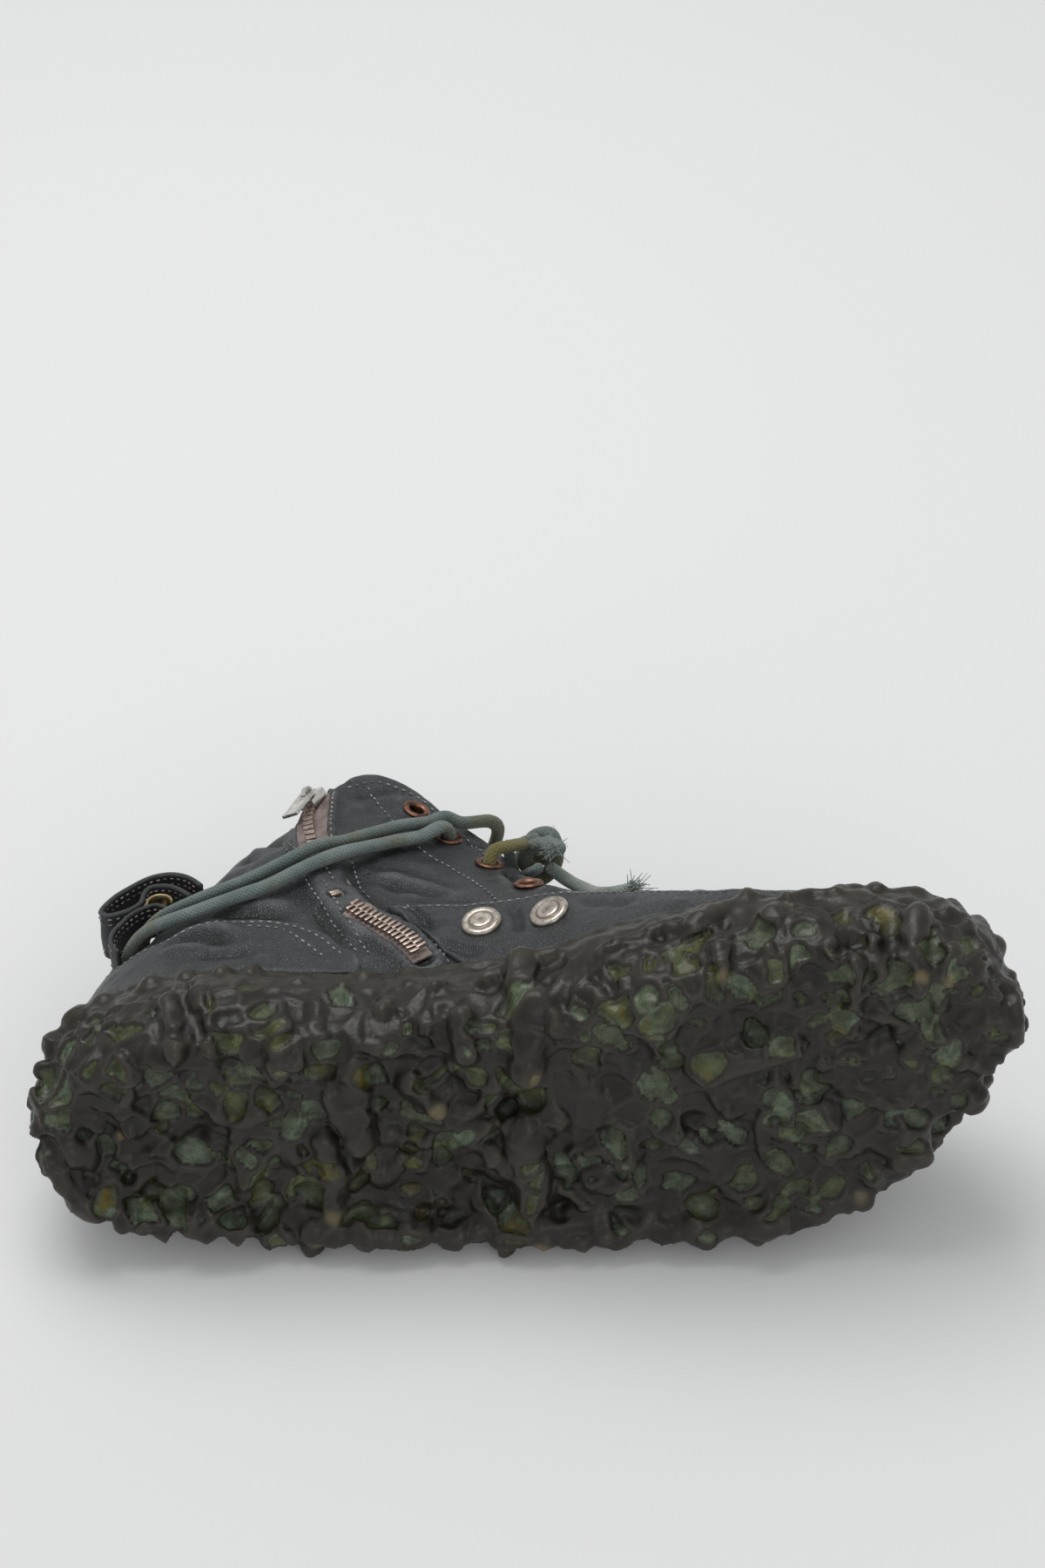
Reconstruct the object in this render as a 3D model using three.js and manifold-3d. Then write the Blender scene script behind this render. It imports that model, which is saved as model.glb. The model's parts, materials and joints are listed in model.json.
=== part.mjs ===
// A worn high leather sneaker, the left one of a pair, on a thick sole of dripping rubber.
// It lies on its lateral side. Millimetres. A place on the shoe is given as (along, inward, up):
// along from heel to toe, inward towards the other foot, up from the ground that it would stand on.
import * as THREE from 'three';
import { mergeVertices } from 'three/addons/utils/BufferGeometryUtils.js';
import Module from 'manifold-3d';

// Driving sizes
const LENGTH = 308;         // rubber, heel to toe
const BALL_WIDTH = 108;     // rubber, at the ball of the foot
const SHAFT_HEIGHT = 162;   // ground to the highest point of the collar
const SOLE_HEIGHT = 40;     // ground to the top of the rubber rim
const BED_HEIGHT = 24;      // ground to the bed that the insole lies on
const TREAD_HEIGHT = 7;     // ground to the rubber between the drips
const TOE_SPRING = 8;       // rise of the toe
const ARCH_RISE = 3;        // rise of the tread under the arch
const RIM_WALL = 7;         // rubber rim round the leather
const LEATHER = 1.8;        // wall of the upper, and every panel on it
const INSOLE = 3.5;
const INSOLE_SEAT = 0.7;    // under the insole, where the bed curves
const INSOLE_EDGE = 1.2;    // round the insole
const LUMP = 1.6;           // swell of the rubber
const GAP = 0.3;            // between pieces that touch
const CLEAR = 0.4;          // between curved pieces that lie on each other
const LEAN = 8;             // degrees that the lying shoe tips towards its sole
const REST_DEPTH = 53.3;    // middle of the shoe to the floor that it lies on
const EYELET_RADIUS = 5;
const EYELET_BORE = 2.6;
const EYELET_FLANGE = 0.8;
const SNAP_RADIUS = 6.6;
const SNAP_HEIGHT = 2.4;
const TAPE_HALF = 5.5;      // zip tape, middle to edge
const TAPE = 0.6;
const CHAIN_HALF = 3;       // zip teeth, middle to end
const TOOTH_PITCH = 4;
const TOOTH_LENGTH = 2.2;
const TOOTH_HEIGHT = 1.4;
const SLIDER = { length: 8.4, width: 7.2, height: 3.0, post: 1.0, bridge: 1.6 };
const PULL = { length: 13.5, width: 7, thickness: 1.2, bar: 1.3 };
const PULL_LOOP = { width: 19, thickness: 1.9, inward: -10.5 };
const LACE_LOOP = { width: 14, thickness: 1.6, inward: -4 };
const RING = { radius: 4.6, wall: 1, depth: 5 };
const LACE = 4.8;           // diameter of the lace
const KNOT = 7.4;           // half the size of the knot

// Straps and knots are drawn in millimetres on a shoe of these sizes, and carried along when one changes
const DRAWN = { length: 308, width: 108, height: 162 };

// The upper's ribs, once round the shoe from the heel over the medial side to the toe and back.
// Each rib is one smooth arc from the rubber's edge to the collar or the throat.
// Along: shares of LENGTH. Inward and out: shares of BALL_WIDTH. Up: shares of SHAFT_HEIGHT.
// shoulder is how far the arc's last pull point leans back to its foot, drop how far it hangs below.
const RIB_COLUMNS = ['edgeAlong', 'edgeIn', 'bellyOut', 'bellyUp', 'topAlong', 'topIn', 'topUp',
  'shoulder', 'drop'];
const RIBS = [
  [0.000, -0.045, -0.01, 0.15, 0.200, -0.035, 0.860, 0.48, 0.105],    // heel
  [0.016, 0.100, -0.01, 0.15, 0.208, 0.055, 0.865, 0.45, 0.110],
  [0.055, 0.205, 0.00, 0.17, 0.225, 0.130, 0.878, 0.38, 0.135],
  [0.110, 0.280, 0.01, 0.19, 0.244, 0.185, 0.895, 0.28, 0.170],
  [0.170, 0.315, 0.03, 0.21, 0.264, 0.230, 0.925, 0.18, 0.215],       // zip's top
  [0.245, 0.325, 0.04, 0.21, 0.292, 0.250, 0.970, 0.08, 0.260],
  [0.320, 0.320, 0.04, 0.20, 0.325, 0.230, 1.000, 0.04, 0.280],       // highest point
  [0.393, 0.330, 0.04, 0.20, 0.360, 0.200, 0.980, 0.04, 0.260],       // first eyelet
  [0.455, 0.352, 0.04, 0.19, 0.396, 0.158, 0.930, 0.06, 0.215],
  [0.513, 0.390, 0.04, 0.18, 0.442, 0.135, 0.850, 0.12, 0.155],
  [0.578, 0.475, 0.02, 0.16, 0.487, 0.120, 0.745, 0.20, 0.090],
  [0.662, 0.555, 0.01, 0.13, 0.536, 0.100, 0.630, 0.30, 0.055],
  [0.766, 0.606, 0.01, 0.10, 0.575, 0.075, 0.575, 0.36, 0.055],       // ball, medial
  [0.857, 0.615, 0.01, 0.10, 0.594, 0.047, 0.555, 0.40, 0.070],
  [0.925, 0.565, 0.02, 0.10, 0.602, 0.033, 0.549, 0.45, 0.080],
  [0.971, 0.435, 0.02, 0.10, 0.607, 0.023, 0.549, 0.50, 0.090],
  [0.997, 0.240, 0.02, 0.10, 0.609, 0.010, 0.549, 0.52, 0.095],       // toe
  [0.974, 0.100, 0.02, 0.10, 0.607, -0.005, 0.549, 0.50, 0.090],
  [0.935, -0.045, 0.02, 0.10, 0.604, -0.020, 0.549, 0.45, 0.080],
  [0.864, -0.278, 0.02, 0.10, 0.597, -0.037, 0.555, 0.40, 0.070],
  [0.779, -0.375, 0.01, 0.12, 0.578, -0.065, 0.575, 0.36, 0.060],     // ball, lateral
  [0.675, -0.435, 0.01, 0.15, 0.536, -0.093, 0.630, 0.28, 0.060],
  [0.578, -0.458, 0.00, 0.18, 0.487, -0.110, 0.745, 0.18, 0.100],
  [0.497, -0.458, -0.04, 0.20, 0.442, -0.125, 0.850, 0.05, 0.160],
  [0.416, -0.463, -0.08, 0.21, 0.396, -0.160, 0.930, -0.08, 0.210],
  [0.325, -0.472, -0.10, 0.21, 0.357, -0.228, 0.975, -0.28, 0.250],   // collar, on the floor
  [0.234, -0.463, -0.10, 0.22, 0.312, -0.305, 0.963, -0.30, 0.240],
  [0.146, -0.430, -0.08, 0.22, 0.266, -0.305, 0.925, -0.10, 0.210],
  [0.062, -0.352, -0.03, 0.23, 0.230, -0.222, 0.890, 0.25, 0.150],
  [0.016, -0.204, -0.01, 0.17, 0.208, -0.120, 0.865, 0.43, 0.115],
].map((row) => Object.fromEntries(row.map((value, i) => [RIB_COLUMNS[i], value])));

// The middle line of the sole, shares of LENGTH and BALL_WIDTH
const HEEL_MIDDLE = new THREE.Vector2(0.137 * LENGTH, -0.065 * BALL_WIDTH);
const TOE_MIDDLE = new THREE.Vector2(0.83 * LENGTH, 0.13 * BALL_WIDTH);

// Rings of the rubber from the middle of the tread, round its side, over the rim and down to the bed.
// middle: share of the way to the middle line. inset: shares of RIM_WALL. up: height.
const SOLE_RINGS = [
  { middle: 0.82, inset: 0.7, up: TREAD_HEIGHT, swell: 1 },
  { middle: 0.55, inset: 0.7, up: TREAD_HEIGHT, swell: 1 },
  { middle: 0.30, inset: 0.7, up: TREAD_HEIGHT - 1, swell: 1 },
  { middle: 0.10, inset: 0.7, up: TREAD_HEIGHT - 2, swell: 1 },
  { middle: 0, inset: 0.62, up: 0.17 * SOLE_HEIGHT, swell: 1 },
  { middle: 0, inset: 0.22, up: 0.32 * SOLE_HEIGHT, swell: 1 },
  { middle: 0, inset: 0.02, up: 0.50 * SOLE_HEIGHT, swell: 1 },
  { middle: 0, inset: 0.06, up: 0.70 * SOLE_HEIGHT, swell: 1 },
  { middle: 0, inset: 0.20, up: 0.88 * SOLE_HEIGHT, swell: 0.6 },
  { middle: 0, inset: 0.55, up: SOLE_HEIGHT, swell: 0 },
  { middle: 0, inset: 0.88, up: SOLE_HEIGHT, swell: 0 },
  { middle: 0, inset: 1, up: SOLE_HEIGHT - 1, swell: 0 },
];
const BED_RINGS = [0, 0.5];   // of the bed and what lies on it, shares of the way to the middle

// Main drips and ridges of the rubber, each a tapering finger from its root to its tip.
// Along: share of LENGTH. In: share of BALL_WIDTH. Up: share of SOLE_HEIGHT. thick, thin: millimetres.
const DRIPS = [
  { name: 'heel back', root: [0.035, -0.10, 0.45], tip: [0.012, -0.12, 0.14], thick: 6, thin: 3.5 },
  { name: 'heel middle', root: [0.100, -0.03, 0.30], tip: [0.105, -0.02, 0.10], thick: 8, thin: 3.6 },
  { name: 'heel medial', root: [0.160, 0.24, 0.35], tip: [0.160, 0.27, 0.10], thick: 7, thin: 3.6 },
  { name: 'waist medial', root: [0.262, 0.18, 0.25], tip: [0.263, 0.24, 0.10], thick: 7, thin: 3.8 },
  { name: 'waist ridge', root: [0.335, 0.20, 0.18], tip: [0.338, -0.05, 0.12], thick: 5.5, thin: 4.5 },
  { name: 'arch drip', root: [0.445, 0.22, 0.30], tip: [0.450, 0.27, 0.12], thick: 7, thin: 3.8 },
  { name: 'ball ridge, medial', root: [0.515, 0.37, 0.35], tip: [0.508, 0.20, 0.13], thick: 6.5, thin: 5 },
  { name: 'ball ridge, lateral', root: [0.503, 0.00, 0.15], tip: [0.512, -0.40, 0.13], thick: 6, thin: 5 },
  { name: 'edge drip, waist', root: [0.285, -0.40, 0.30], tip: [0.282, -0.45, 0.10], thick: 6, thin: 3.8 },
  { name: 'edge drip, ball', root: [0.475, -0.40, 0.30], tip: [0.478, -0.445, 0.10], thick: 6, thin: 3.8 },
  { name: 'ball drip', root: [0.630, 0.33, 0.28], tip: [0.628, 0.385, 0.10], thick: 7, thin: 3.8 },
  { name: 'toe drip, medial', root: [0.700, 0.47, 0.35], tip: [0.702, 0.52, 0.16], thick: 7, thin: 4.2 },
  { name: 'toe ridge', root: [0.685, 0.22, 0.15], tip: [0.770, 0.30, 0.12], thick: 6, thin: 4.5 },
  { name: 'toe drip, front', root: [0.880, 0.45, 0.25], tip: [0.890, 0.49, 0.10], thick: 6.5, thin: 4 },
  { name: 'toe tip', root: [0.950, 0.26, 0.40], tip: [0.976, 0.32, 0.16], thick: 7, thin: 4 },
  { name: 'toe drip, lateral', root: [0.840, -0.22, 0.35], tip: [0.848, -0.305, 0.16], thick: 7, thin: 3.6 },
  { name: 'toe middle', root: [0.800, 0.02, 0.25], tip: [0.806, 0.02, 0.10], thick: 8, thin: 4 },
  { name: 'waist middle', root: [0.225, -0.16, 0.25], tip: [0.222, -0.20, 0.10], thick: 8, thin: 4 },
  { name: 'ball middle', root: [0.600, -0.10, 0.25], tip: [0.604, -0.12, 0.10], thick: 8, thin: 4 },
  // lumps of the side that the shoe lies on
  { name: 'rest, heel', root: [0.160, -0.33, 0.66], tip: [0.160, -0.455, 0.68], thick: 9, thin: 7 },
  { name: 'rest, waist', root: [0.300, -0.36, 0.70], tip: [0.300, -0.460, 0.72], thick: 9, thin: 7 },
  { name: 'rest, ball', root: [0.690, -0.32, 0.64], tip: [0.690, -0.455, 0.68], thick: 9, thin: 7.5 },
  { name: 'rest, joint', root: [0.560, -0.34, 0.66], tip: [0.560, -0.460, 0.70], thick: 9, thin: 7 },
];
const SIDE_RIBS = 13;       // drips that run down the side from the rim

// Places on the leather: q counts the ribs, t runs from the rubber (0) to the collar or throat (1)
const MEDIAL_EYELETS = [[7.12, 0.90], [8.06, 0.85], [8.90, 0.75], [9.45, 0.58]];
const LATERAL_EYELETS = [[-5.12, 0.90], [-6.40, 0.84], [-7.05, 0.75], [-7.65, 0.64]];
const LATERAL_LIFT = 0.5;    // the lateral stay is hollow there, so its eyelets stand higher
const SNAPS = [[8.12, 0.235], [9.38, 0.235]];
const ZIP_PATH = [[3.75, 0.985], [3.95, 0.92], [4.20, 0.82], [4.75, 0.65], [5.25, 0.50], [5.62, 0.39],
  [5.98, 0.33], [6.44, 0.25], [6.80, 0.17], [7.06, 0.085]];
const SLIDER_AT = 0.035;    // share of the zip's length
const SLIDER_HEADING = [-0.435, -0.148];   // where the pull points, in q and t

// Top edges of the two panels on the leather: [q, t]
const FLAP_TOP = [[6.45, 0.365], [7.0, 0.362], [8.4, 0.37], [9.7, 0.41], [10.4, 0.36], [11.0, 0.28],
  [11.6, 0.17], [12.0, 0.08]];
const FLAP_BACK = 7.78;     // q of the flap's lower back corner, clear of the zip
const COUNTER_TOP = [[-3.6, 0.08], [-3.2, 0.17], [-2.4, 0.25], [-1, 0.285], [0, 0.29], [1.5, 0.285],
  [3.1, 0.28], [4.1, 0.29], [5.1, 0.265], [5.6, 0.21], [6.0, 0.13], [6.15, 0.08]];
const PANEL_FOOT = 0.03;    // t of the panels' lower edge, just above the rubber
const COLUMNS_PER_RIB = 2;
const RIB_STEPS = [-1, 0, 0.1, 0.22, 0.36, 0.5, 0.64, 0.78, 0.9, 1];

const wasm = await Module();
wasm.setup();
const radians = THREE.MathUtils.degToRad;
const clamp = THREE.MathUtils.clamp;

// A place on the shoe. The shoe is built lying: its up is the model's Y, its inward the model's Z.
function place(along, inward, up) {
  return new THREE.Vector3(along, up, inward);
}

// The same, for a place that was drawn in millimetres
function drawn(along, inward, up) {
  return place(along * LENGTH / DRAWN.length, inward * BALL_WIDTH / DRAWN.width, up * SHAFT_HEIGHT / DRAWN.height);
}

// Smooth closed curve through the ribs' values in one column
function ribValue(column, q) {
  const n = RIBS.length;
  const i = Math.floor(q);
  const s = q - i;
  const [a, b, c, d] = [-1, 0, 1, 2].map((k) => RIBS[(((i + k) % n) + n) % n][column]);
  return 0.5 * (2 * b + (c - a) * s + (2 * a - 5 * b + 4 * c - d) * s * s
    + (3 * b - a - 3 * c + d) * s ** 3);
}

// Smooth open curve through rows of [q, t]
function pathPoint(rows, share) {
  const x = clamp(share, 0, 1) * (rows.length - 1);
  const i = Math.min(Math.floor(x), rows.length - 2);
  const s = x - i;
  const at = (k) => rows[clamp(i + k, 0, rows.length - 1)];
  return [0, 1].map((axis) => {
    const [a, b, c, d] = [-1, 0, 1, 2].map((k) => at(k)[axis]);
    return 0.5 * (2 * b + (c - a) * s + (2 * a - 5 * b + 4 * c - d) * s * s
      + (3 * b - a - 3 * c + d) * s ** 3);
  });
}

// Height of a panel's top edge at q
function edgeAt(rows, q) {
  const i = clamp(rows.findIndex((row) => row[0] > q) - 1, 0, rows.length - 2);
  const [a, b] = q >= rows.at(-1)[0] ? rows.slice(-2) : [rows[i], rows[i + 1]];
  return THREE.MathUtils.lerp(a[1], b[1], clamp((q - a[0]) / (b[0] - a[0]), 0, 1));
}

function middlePoint(point) {
  const line = TOE_MIDDLE.clone().sub(HEEL_MIDDLE);
  const share = clamp(point.clone().sub(HEEL_MIDDLE).dot(line) / line.lengthSq(), 0, 1);
  return HEEL_MIDDLE.clone().addScaledVector(line, share);
}

// The rubber's outline at rib q, moved inwards, with the direction that points out of it
function outline(q, inset = 0, middle = 0) {
  const edge = new THREE.Vector2(ribValue('edgeAlong', q) * LENGTH, ribValue('edgeIn', q) * BALL_WIDTH);
  const centre = middlePoint(edge);
  const reach = edge.distanceTo(centre);
  const out = edge.clone().sub(centre).divideScalar(reach);
  const point = edge.addScaledVector(out, -inset);
  point.lerp(centre, middle);
  return { point, out };
}

function toeRise(along) {
  return TOE_SPRING * clamp((along / LENGTH - 0.65) / 0.35, 0, 1) ** 2;
}

function archRise(along) {
  return ARCH_RISE * Math.exp(-(((along / LENGTH - 0.42) / 0.12) ** 2));
}

// The floor that the shoe lies on is a plane: how far a point is above it
const FLOOR_UP = new THREE.Vector3(0, -Math.sin(radians(LEAN)), Math.cos(radians(LEAN)));
const PRESS = 1.5;          // softness of the leather where the floor presses it flat
function aboveFloor(point) {
  return point.dot(FLOOR_UP) + REST_DEPTH;
}
function pressed(point) {
  const height = aboveFloor(point);
  if (height >= PRESS) return point;
  const soft = height <= -PRESS ? 0 : (height + PRESS) ** 2 / (4 * PRESS);
  return point.addScaledVector(FLOOR_UP, soft - height);
}

// Outer face of the leather. Below t = 0 it is the wall that stands inside the rubber rim.
function skin(q, t) {
  const { point: foot, out } = outline(q, RIM_WALL + GAP);
  const footUp = SOLE_HEIGHT + 1 + toeRise(foot.x);
  const b = clamp(t, 0, 1);
  const belly = ribValue('bellyOut', q) * BALL_WIDTH;
  const top = place(ribValue('topAlong', q) * LENGTH, ribValue('topIn', q) * BALL_WIDTH,
    ribValue('topUp', q) * SHAFT_HEIGHT);
  const start = place(foot.x, foot.y, footUp);
  const first = place(foot.x + out.x * belly, foot.y + out.y * belly,
    footUp + ribValue('bellyUp', q) * SHAFT_HEIGHT);
  const lean = ribValue('shoulder', q);
  const second = place(THREE.MathUtils.lerp(top.x, start.x, lean), THREE.MathUtils.lerp(top.z, start.z, lean),
    top.y - ribValue('drop', q) * SHAFT_HEIGHT);
  const point = new THREE.CubicBezierCurve3(start, first, second, top).getPoint(b);
  if (t < 0) point.y += t * (SOLE_HEIGHT + 1 - BED_HEIGHT - CLEAR);
  return pressed(point);
}

// Direction that points out of the leather
function skinOut(q, t) {
  const e = 1e-3;
  const round = skin(q + e, t).sub(skin(q - e, t));
  const rise = skin(q, Math.min(t + e, 1)).sub(skin(q, Math.max(t - e, -1)));
  return round.cross(rise).normalize();
}

function over(q, t, lift) {
  return skin(q, t).addScaledVector(skinOut(q, t), lift);
}

// A frame on the leather: origin lifted off it, x towards a heading given in q and t, y out of it
function seat(q, t, lift, heading = [1, 0]) {
  const y = skinOut(q, t);
  const e = 0.02;
  const ahead = skin(q + heading[0] * e, t + heading[1] * e).sub(skin(q - heading[0] * e, t - heading[1] * e));
  const x = ahead.addScaledVector(y, -ahead.dot(y)).normalize();
  const z = x.clone().cross(y);
  return new THREE.Matrix4().makeBasis(x, y, z).setPosition(over(q, t, lift));
}

// Steps that several shapes share: welded corners, no flat slivers, faces pointing out
function tidy(geometry) {
  geometry.deleteAttribute('normal');
  geometry.deleteAttribute('uv');
  const merged = mergeVertices(geometry, 1e-3);
  const points = merged.getAttribute('position');
  const index = [];
  const [a, b, c] = [new THREE.Vector3(), new THREE.Vector3(), new THREE.Vector3()];
  let volume = 0;
  for (let i = 0; i < merged.index.count; i += 3) {
    const face = [0, 1, 2].map((k) => merged.index.getX(i + k));
    if (new Set(face).size < 3) continue;
    a.fromBufferAttribute(points, face[0]);
    b.fromBufferAttribute(points, face[1]);
    c.fromBufferAttribute(points, face[2]);
    volume += a.dot(b.clone().cross(c)) / 6;
    index.push(face);
  }
  merged.setIndex(index.flatMap((face) => (volume < 0 ? [face[0], face[2], face[1]] : face)));
  merged.computeVertexNormals();
  return merged;
}

// A closed body from rings of points. ends: 'flat' fills the first and last ring as seen from above,
// 'strip' closes a ring of two facing rows, 'loop' joins the last ring to the first.
function ringSolid(rings, ends) {
  const n = rings[0].length;
  const points = rings.flat();
  const index = [];
  const turns = ends === 'loop' ? rings.length : rings.length - 1;
  for (let i = 0; i < turns; i++) {
    for (let j = 0; j < n; j++) {
      const next = (j + 1) % n;
      const [a, b] = [i * n + j, i * n + next];
      const far = ((i + 1) % rings.length) * n;
      index.push(a, b, far + next, a, far + next, far + j);
    }
  }
  if (ends === 'flat') {
    for (const [start, forward] of [[0, false], [(rings.length - 1) * n, true]]) {
      const flat = points.slice(start, start + n).map((p) => new THREE.Vector2(p.x, p.z));
      const faces = THREE.ShapeUtils.triangulateShape(flat, []);
      const agrees = faces.some((f) => [0, 1, 2].some((k) => f[(k + 1) % 3] === (f[k] + 1) % n));
      for (const [a, b, c] of faces) {
        index.push(start + a, ...(agrees === forward ? [start + b, start + c] : [start + c, start + b]));
      }
    }
  }
  if (ends === 'strip') {
    for (const [start, forward] of [[0, false], [(rings.length - 1) * n, true]]) {
      for (let j = 0; j < n / 2 - 1; j++) {
        const [a, b, c, d] = [j, j + 1, n - 2 - j, n - 1 - j].map((k) => start + k);
        index.push(...(forward ? [a, b, c, a, c, d] : [a, c, b, a, d, c]));
      }
    }
  }
  const geometry = new THREE.BufferGeometry();
  geometry.setAttribute('position', new THREE.Float32BufferAttribute(points.flatMap((p) => p.toArray()), 3));
  geometry.setIndex(index);
  return tidy(geometry);
}

// A sheet on the leather: columns of [q, t] places, between two lifts off it
function sheet(columns, low, high) {
  return ringSolid(columns.map((column) => [
    ...column.map(([q, t]) => over(q, t, high)),
    ...column.map(([q, t]) => over(q, t, low)).reverse(),
  ]), 'strip');
}

function toManifold(geometry) {
  const body = tidy(geometry);
  return new wasm.Manifold(new wasm.Mesh({
    numProp: 3,
    vertProperties: new Float32Array(body.getAttribute('position').array),
    triVerts: new Uint32Array(body.index.array),
  }));
}

function fromManifold(solid) {
  const { vertProperties, triVerts, numProp } = solid.getMesh();
  const geometry = new THREE.BufferGeometry();
  const points = [];
  for (let i = 0; i < vertProperties.length; i += numProp) points.push(...vertProperties.slice(i, i + 3));
  geometry.setAttribute('position', new THREE.Float32BufferAttribute(points, 3));
  geometry.setIndex(new THREE.BufferAttribute(new Uint32Array(triVerts), 1));
  return tidy(geometry);
}

// A turned body standing on a frame: profile points are [radius, height]
function turned(profile, sides, frame = new THREE.Matrix4()) {
  const geometry = new THREE.LatheGeometry(profile.map(([r, y]) => new THREE.Vector2(r, y)), sides);
  return tidy(geometry.applyMatrix4(frame));
}

function finger(root, tip, thick, thin, sides = 6) {
  const length = root.distanceTo(tip);
  const aim = new THREE.Quaternion().setFromUnitVectors(new THREE.Vector3(0, 1, 0),
    tip.clone().sub(root).divideScalar(length));
  const frame = new THREE.Matrix4().makeRotationFromQuaternion(aim).setPosition(root);
  return turned([[0, -0.7 * thick], [thick, 0], [thin * 1.05, 0.8 * length],
    [0.7 * thin, length + 0.5 * thin], [0, length + 0.8 * thin]], sides, frame);
}

function cord(points, steps, diameter = LACE) {
  const section = new THREE.Shape();
  for (let i = 0; i < 8; i++) {
    const [x, y] = [Math.cos(i * Math.PI / 4), Math.sin(i * Math.PI / 4)].map((s) => s * diameter / 2);
    if (i === 0) section.moveTo(x, y); else section.lineTo(x, y);
  }
  section.closePath();
  return tidy(new THREE.ExtrudeGeometry(section, {
    steps, curveSegments: 1, bevelEnabled: false,
    extrudePath: new THREE.CatmullRomCurve3(points, false, 'centripetal'),
  }));
}

// A strap bent along a line in the shoe's long plane: [along, up] points, standing across the heel
function strap(points, thickness, width, inwardFrom) {
  const line = new THREE.CatmullRomCurve3(points.map(([along, up]) => drawn(along, 0, up)), false, 'centripetal');
  const steps = 2 * points.length;
  const sides = [1, -1].map((side) => Array.from({ length: steps + 1 }, (_, i) => {
    const at = line.getPoint(i / steps);
    const run = line.getTangent(i / steps);
    return new THREE.Vector2(at.x - side * run.y * thickness / 2, at.y + side * run.x * thickness / 2);
  }));
  const shape = new THREE.Shape([...sides[0], ...sides[1].reverse()]);
  const body = new THREE.ExtrudeGeometry(shape, { depth: width, bevelEnabled: false, steps: 1 });
  return tidy(body.translate(0, 0, inwardFrom));
}

const shoe = new THREE.Group();
function add(name, geometry, colour, roughness, metalness = 0) {
  const material = new THREE.MeshStandardMaterial({ color: colour, roughness, metalness });
  const mesh = new THREE.Mesh(geometry, material);
  mesh.name = name;
  shoe.add(mesh);
  return mesh;
}
function addOn(name, geometry, frame, colour, roughness, metalness) {
  frame.decompose(...((m) => [m.position, m.quaternion, m.scale])(
    add(name, geometry, colour, roughness, metalness)));
}

const COUNT = RIBS.length * COLUMNS_PER_RIB;
const AROUND = Array.from({ length: COUNT }, (_, j) => j / COLUMNS_PER_RIB);

// Rubber sole
function swell(along, inward, up) {
  return Math.sin(along / 9.5 + 1.7 * Math.sin(inward / 13)) * Math.cos(inward / 8.5 + up / 11)
    + 0.6 * Math.sin(along / 5.3 + inward / 7 + up / 6);
}

function soleRing({ middle, inset, up, swell: amount }) {
  return AROUND.map((q) => {
    const { point, out } = outline(q, inset * RIM_WALL, middle);
    const push = amount * LUMP * swell(point.x, point.y, up);
    const low = up <= 0.2 * SOLE_HEIGHT;
    const height = up + toeRise(point.x) + (low ? archRise(point.x) - push : 0);
    if (!low) point.addScaledVector(out, push);
    return place(point.x, point.y, height);
  });
}

// A ring over the bed, level with it but for the height above it
function bedRing(inset, middle, above) {
  return AROUND.map((q) => {
    const { point } = outline(q, inset, middle);
    return place(point.x, point.y, BED_HEIGHT + above + toeRise(point.x));
  });
}

function outsole() {
  const bed = BED_RINGS.map((middle) => bedRing(RIM_WALL, middle, 0));
  let body = toManifold(ringSolid([...SOLE_RINGS.map(soleRing), ...bed], 'flat'));
  const spot = ([along, inward, up]) => place(along * LENGTH, inward * BALL_WIDTH,
    up * SOLE_HEIGHT + toeRise(along * LENGTH));
  for (const { root, tip, thick, thin } of DRIPS) {
    body = body.add(toManifold(finger(spot(root), spot(tip), thick, thin)));
  }
  for (let i = 0; i < SIDE_RIBS; i++) {
    const q = (i + 0.3 * Math.sin(2.4 * i)) * RIBS.length / SIDE_RIBS;
    const foot = outline(q + 0.15, 0.45 * RIM_WALL).point;
    const head = outline(q, 0.45 * RIM_WALL).point;
    body = body.add(toManifold(finger(place(head.x, head.y, 0.84 * SOLE_HEIGHT + toeRise(head.x)),
      place(foot.x, foot.y, (0.22 + 0.08 * Math.sin(3.1 * i)) * SOLE_HEIGHT + toeRise(foot.x)), 3.4, 3.8, 5)));
  }
  // nothing of the rubber fills the hollow of the rim, and none of it lies below the floor
  const hollow = [...bed.reverse(), bedRing(RIM_WALL, 0, 2 * SOLE_HEIGHT)];
  body = body.subtract(toManifold(ringSolid(hollow, 'flat')));
  const floor = new THREE.BoxGeometry(3 * LENGTH, 3 * LENGTH, LENGTH);
  floor.translate(0, 0, -REST_DEPTH - LENGTH / 2);
  const lean = new THREE.Matrix4().makeRotationX(radians(LEAN));
  return fromManifold(body.subtract(toManifold(floor.applyMatrix4(lean))));
}

// Leather upper, one hollow wall
function upper() {
  const outer = RIB_STEPS.map((t) => AROUND.map((q) => skin(q, t)));
  const inner = RIB_STEPS.map((t) => AROUND.map((q) => over(q, t, -LEATHER)));
  let body = toManifold(ringSolid([...outer, ...inner.reverse()], 'loop'));
  for (const [q, t] of [...MEDIAL_EYELETS, ...LATERAL_EYELETS]) {
    const radius = EYELET_BORE + EYELET_FLANGE + GAP;
    const drill = turned([[0, -3 * LEATHER], [radius, -3 * LEATHER], [radius, LEATHER], [0, LEATHER]], 8,
      seat(q, t, 0));
    body = body.subtract(toManifold(drill));
  }
  return fromManifold(body);
}

function insole() {
  const inset = RIM_WALL + GAP + LEATHER + INSOLE_EDGE;
  const low = BED_RINGS.map((middle) => bedRing(inset, middle, INSOLE_SEAT));
  const high = BED_RINGS.map((middle) => bedRing(inset, middle, INSOLE_SEAT + INSOLE));
  return ringSolid([...low.reverse(), ...high], 'flat');
}

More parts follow.
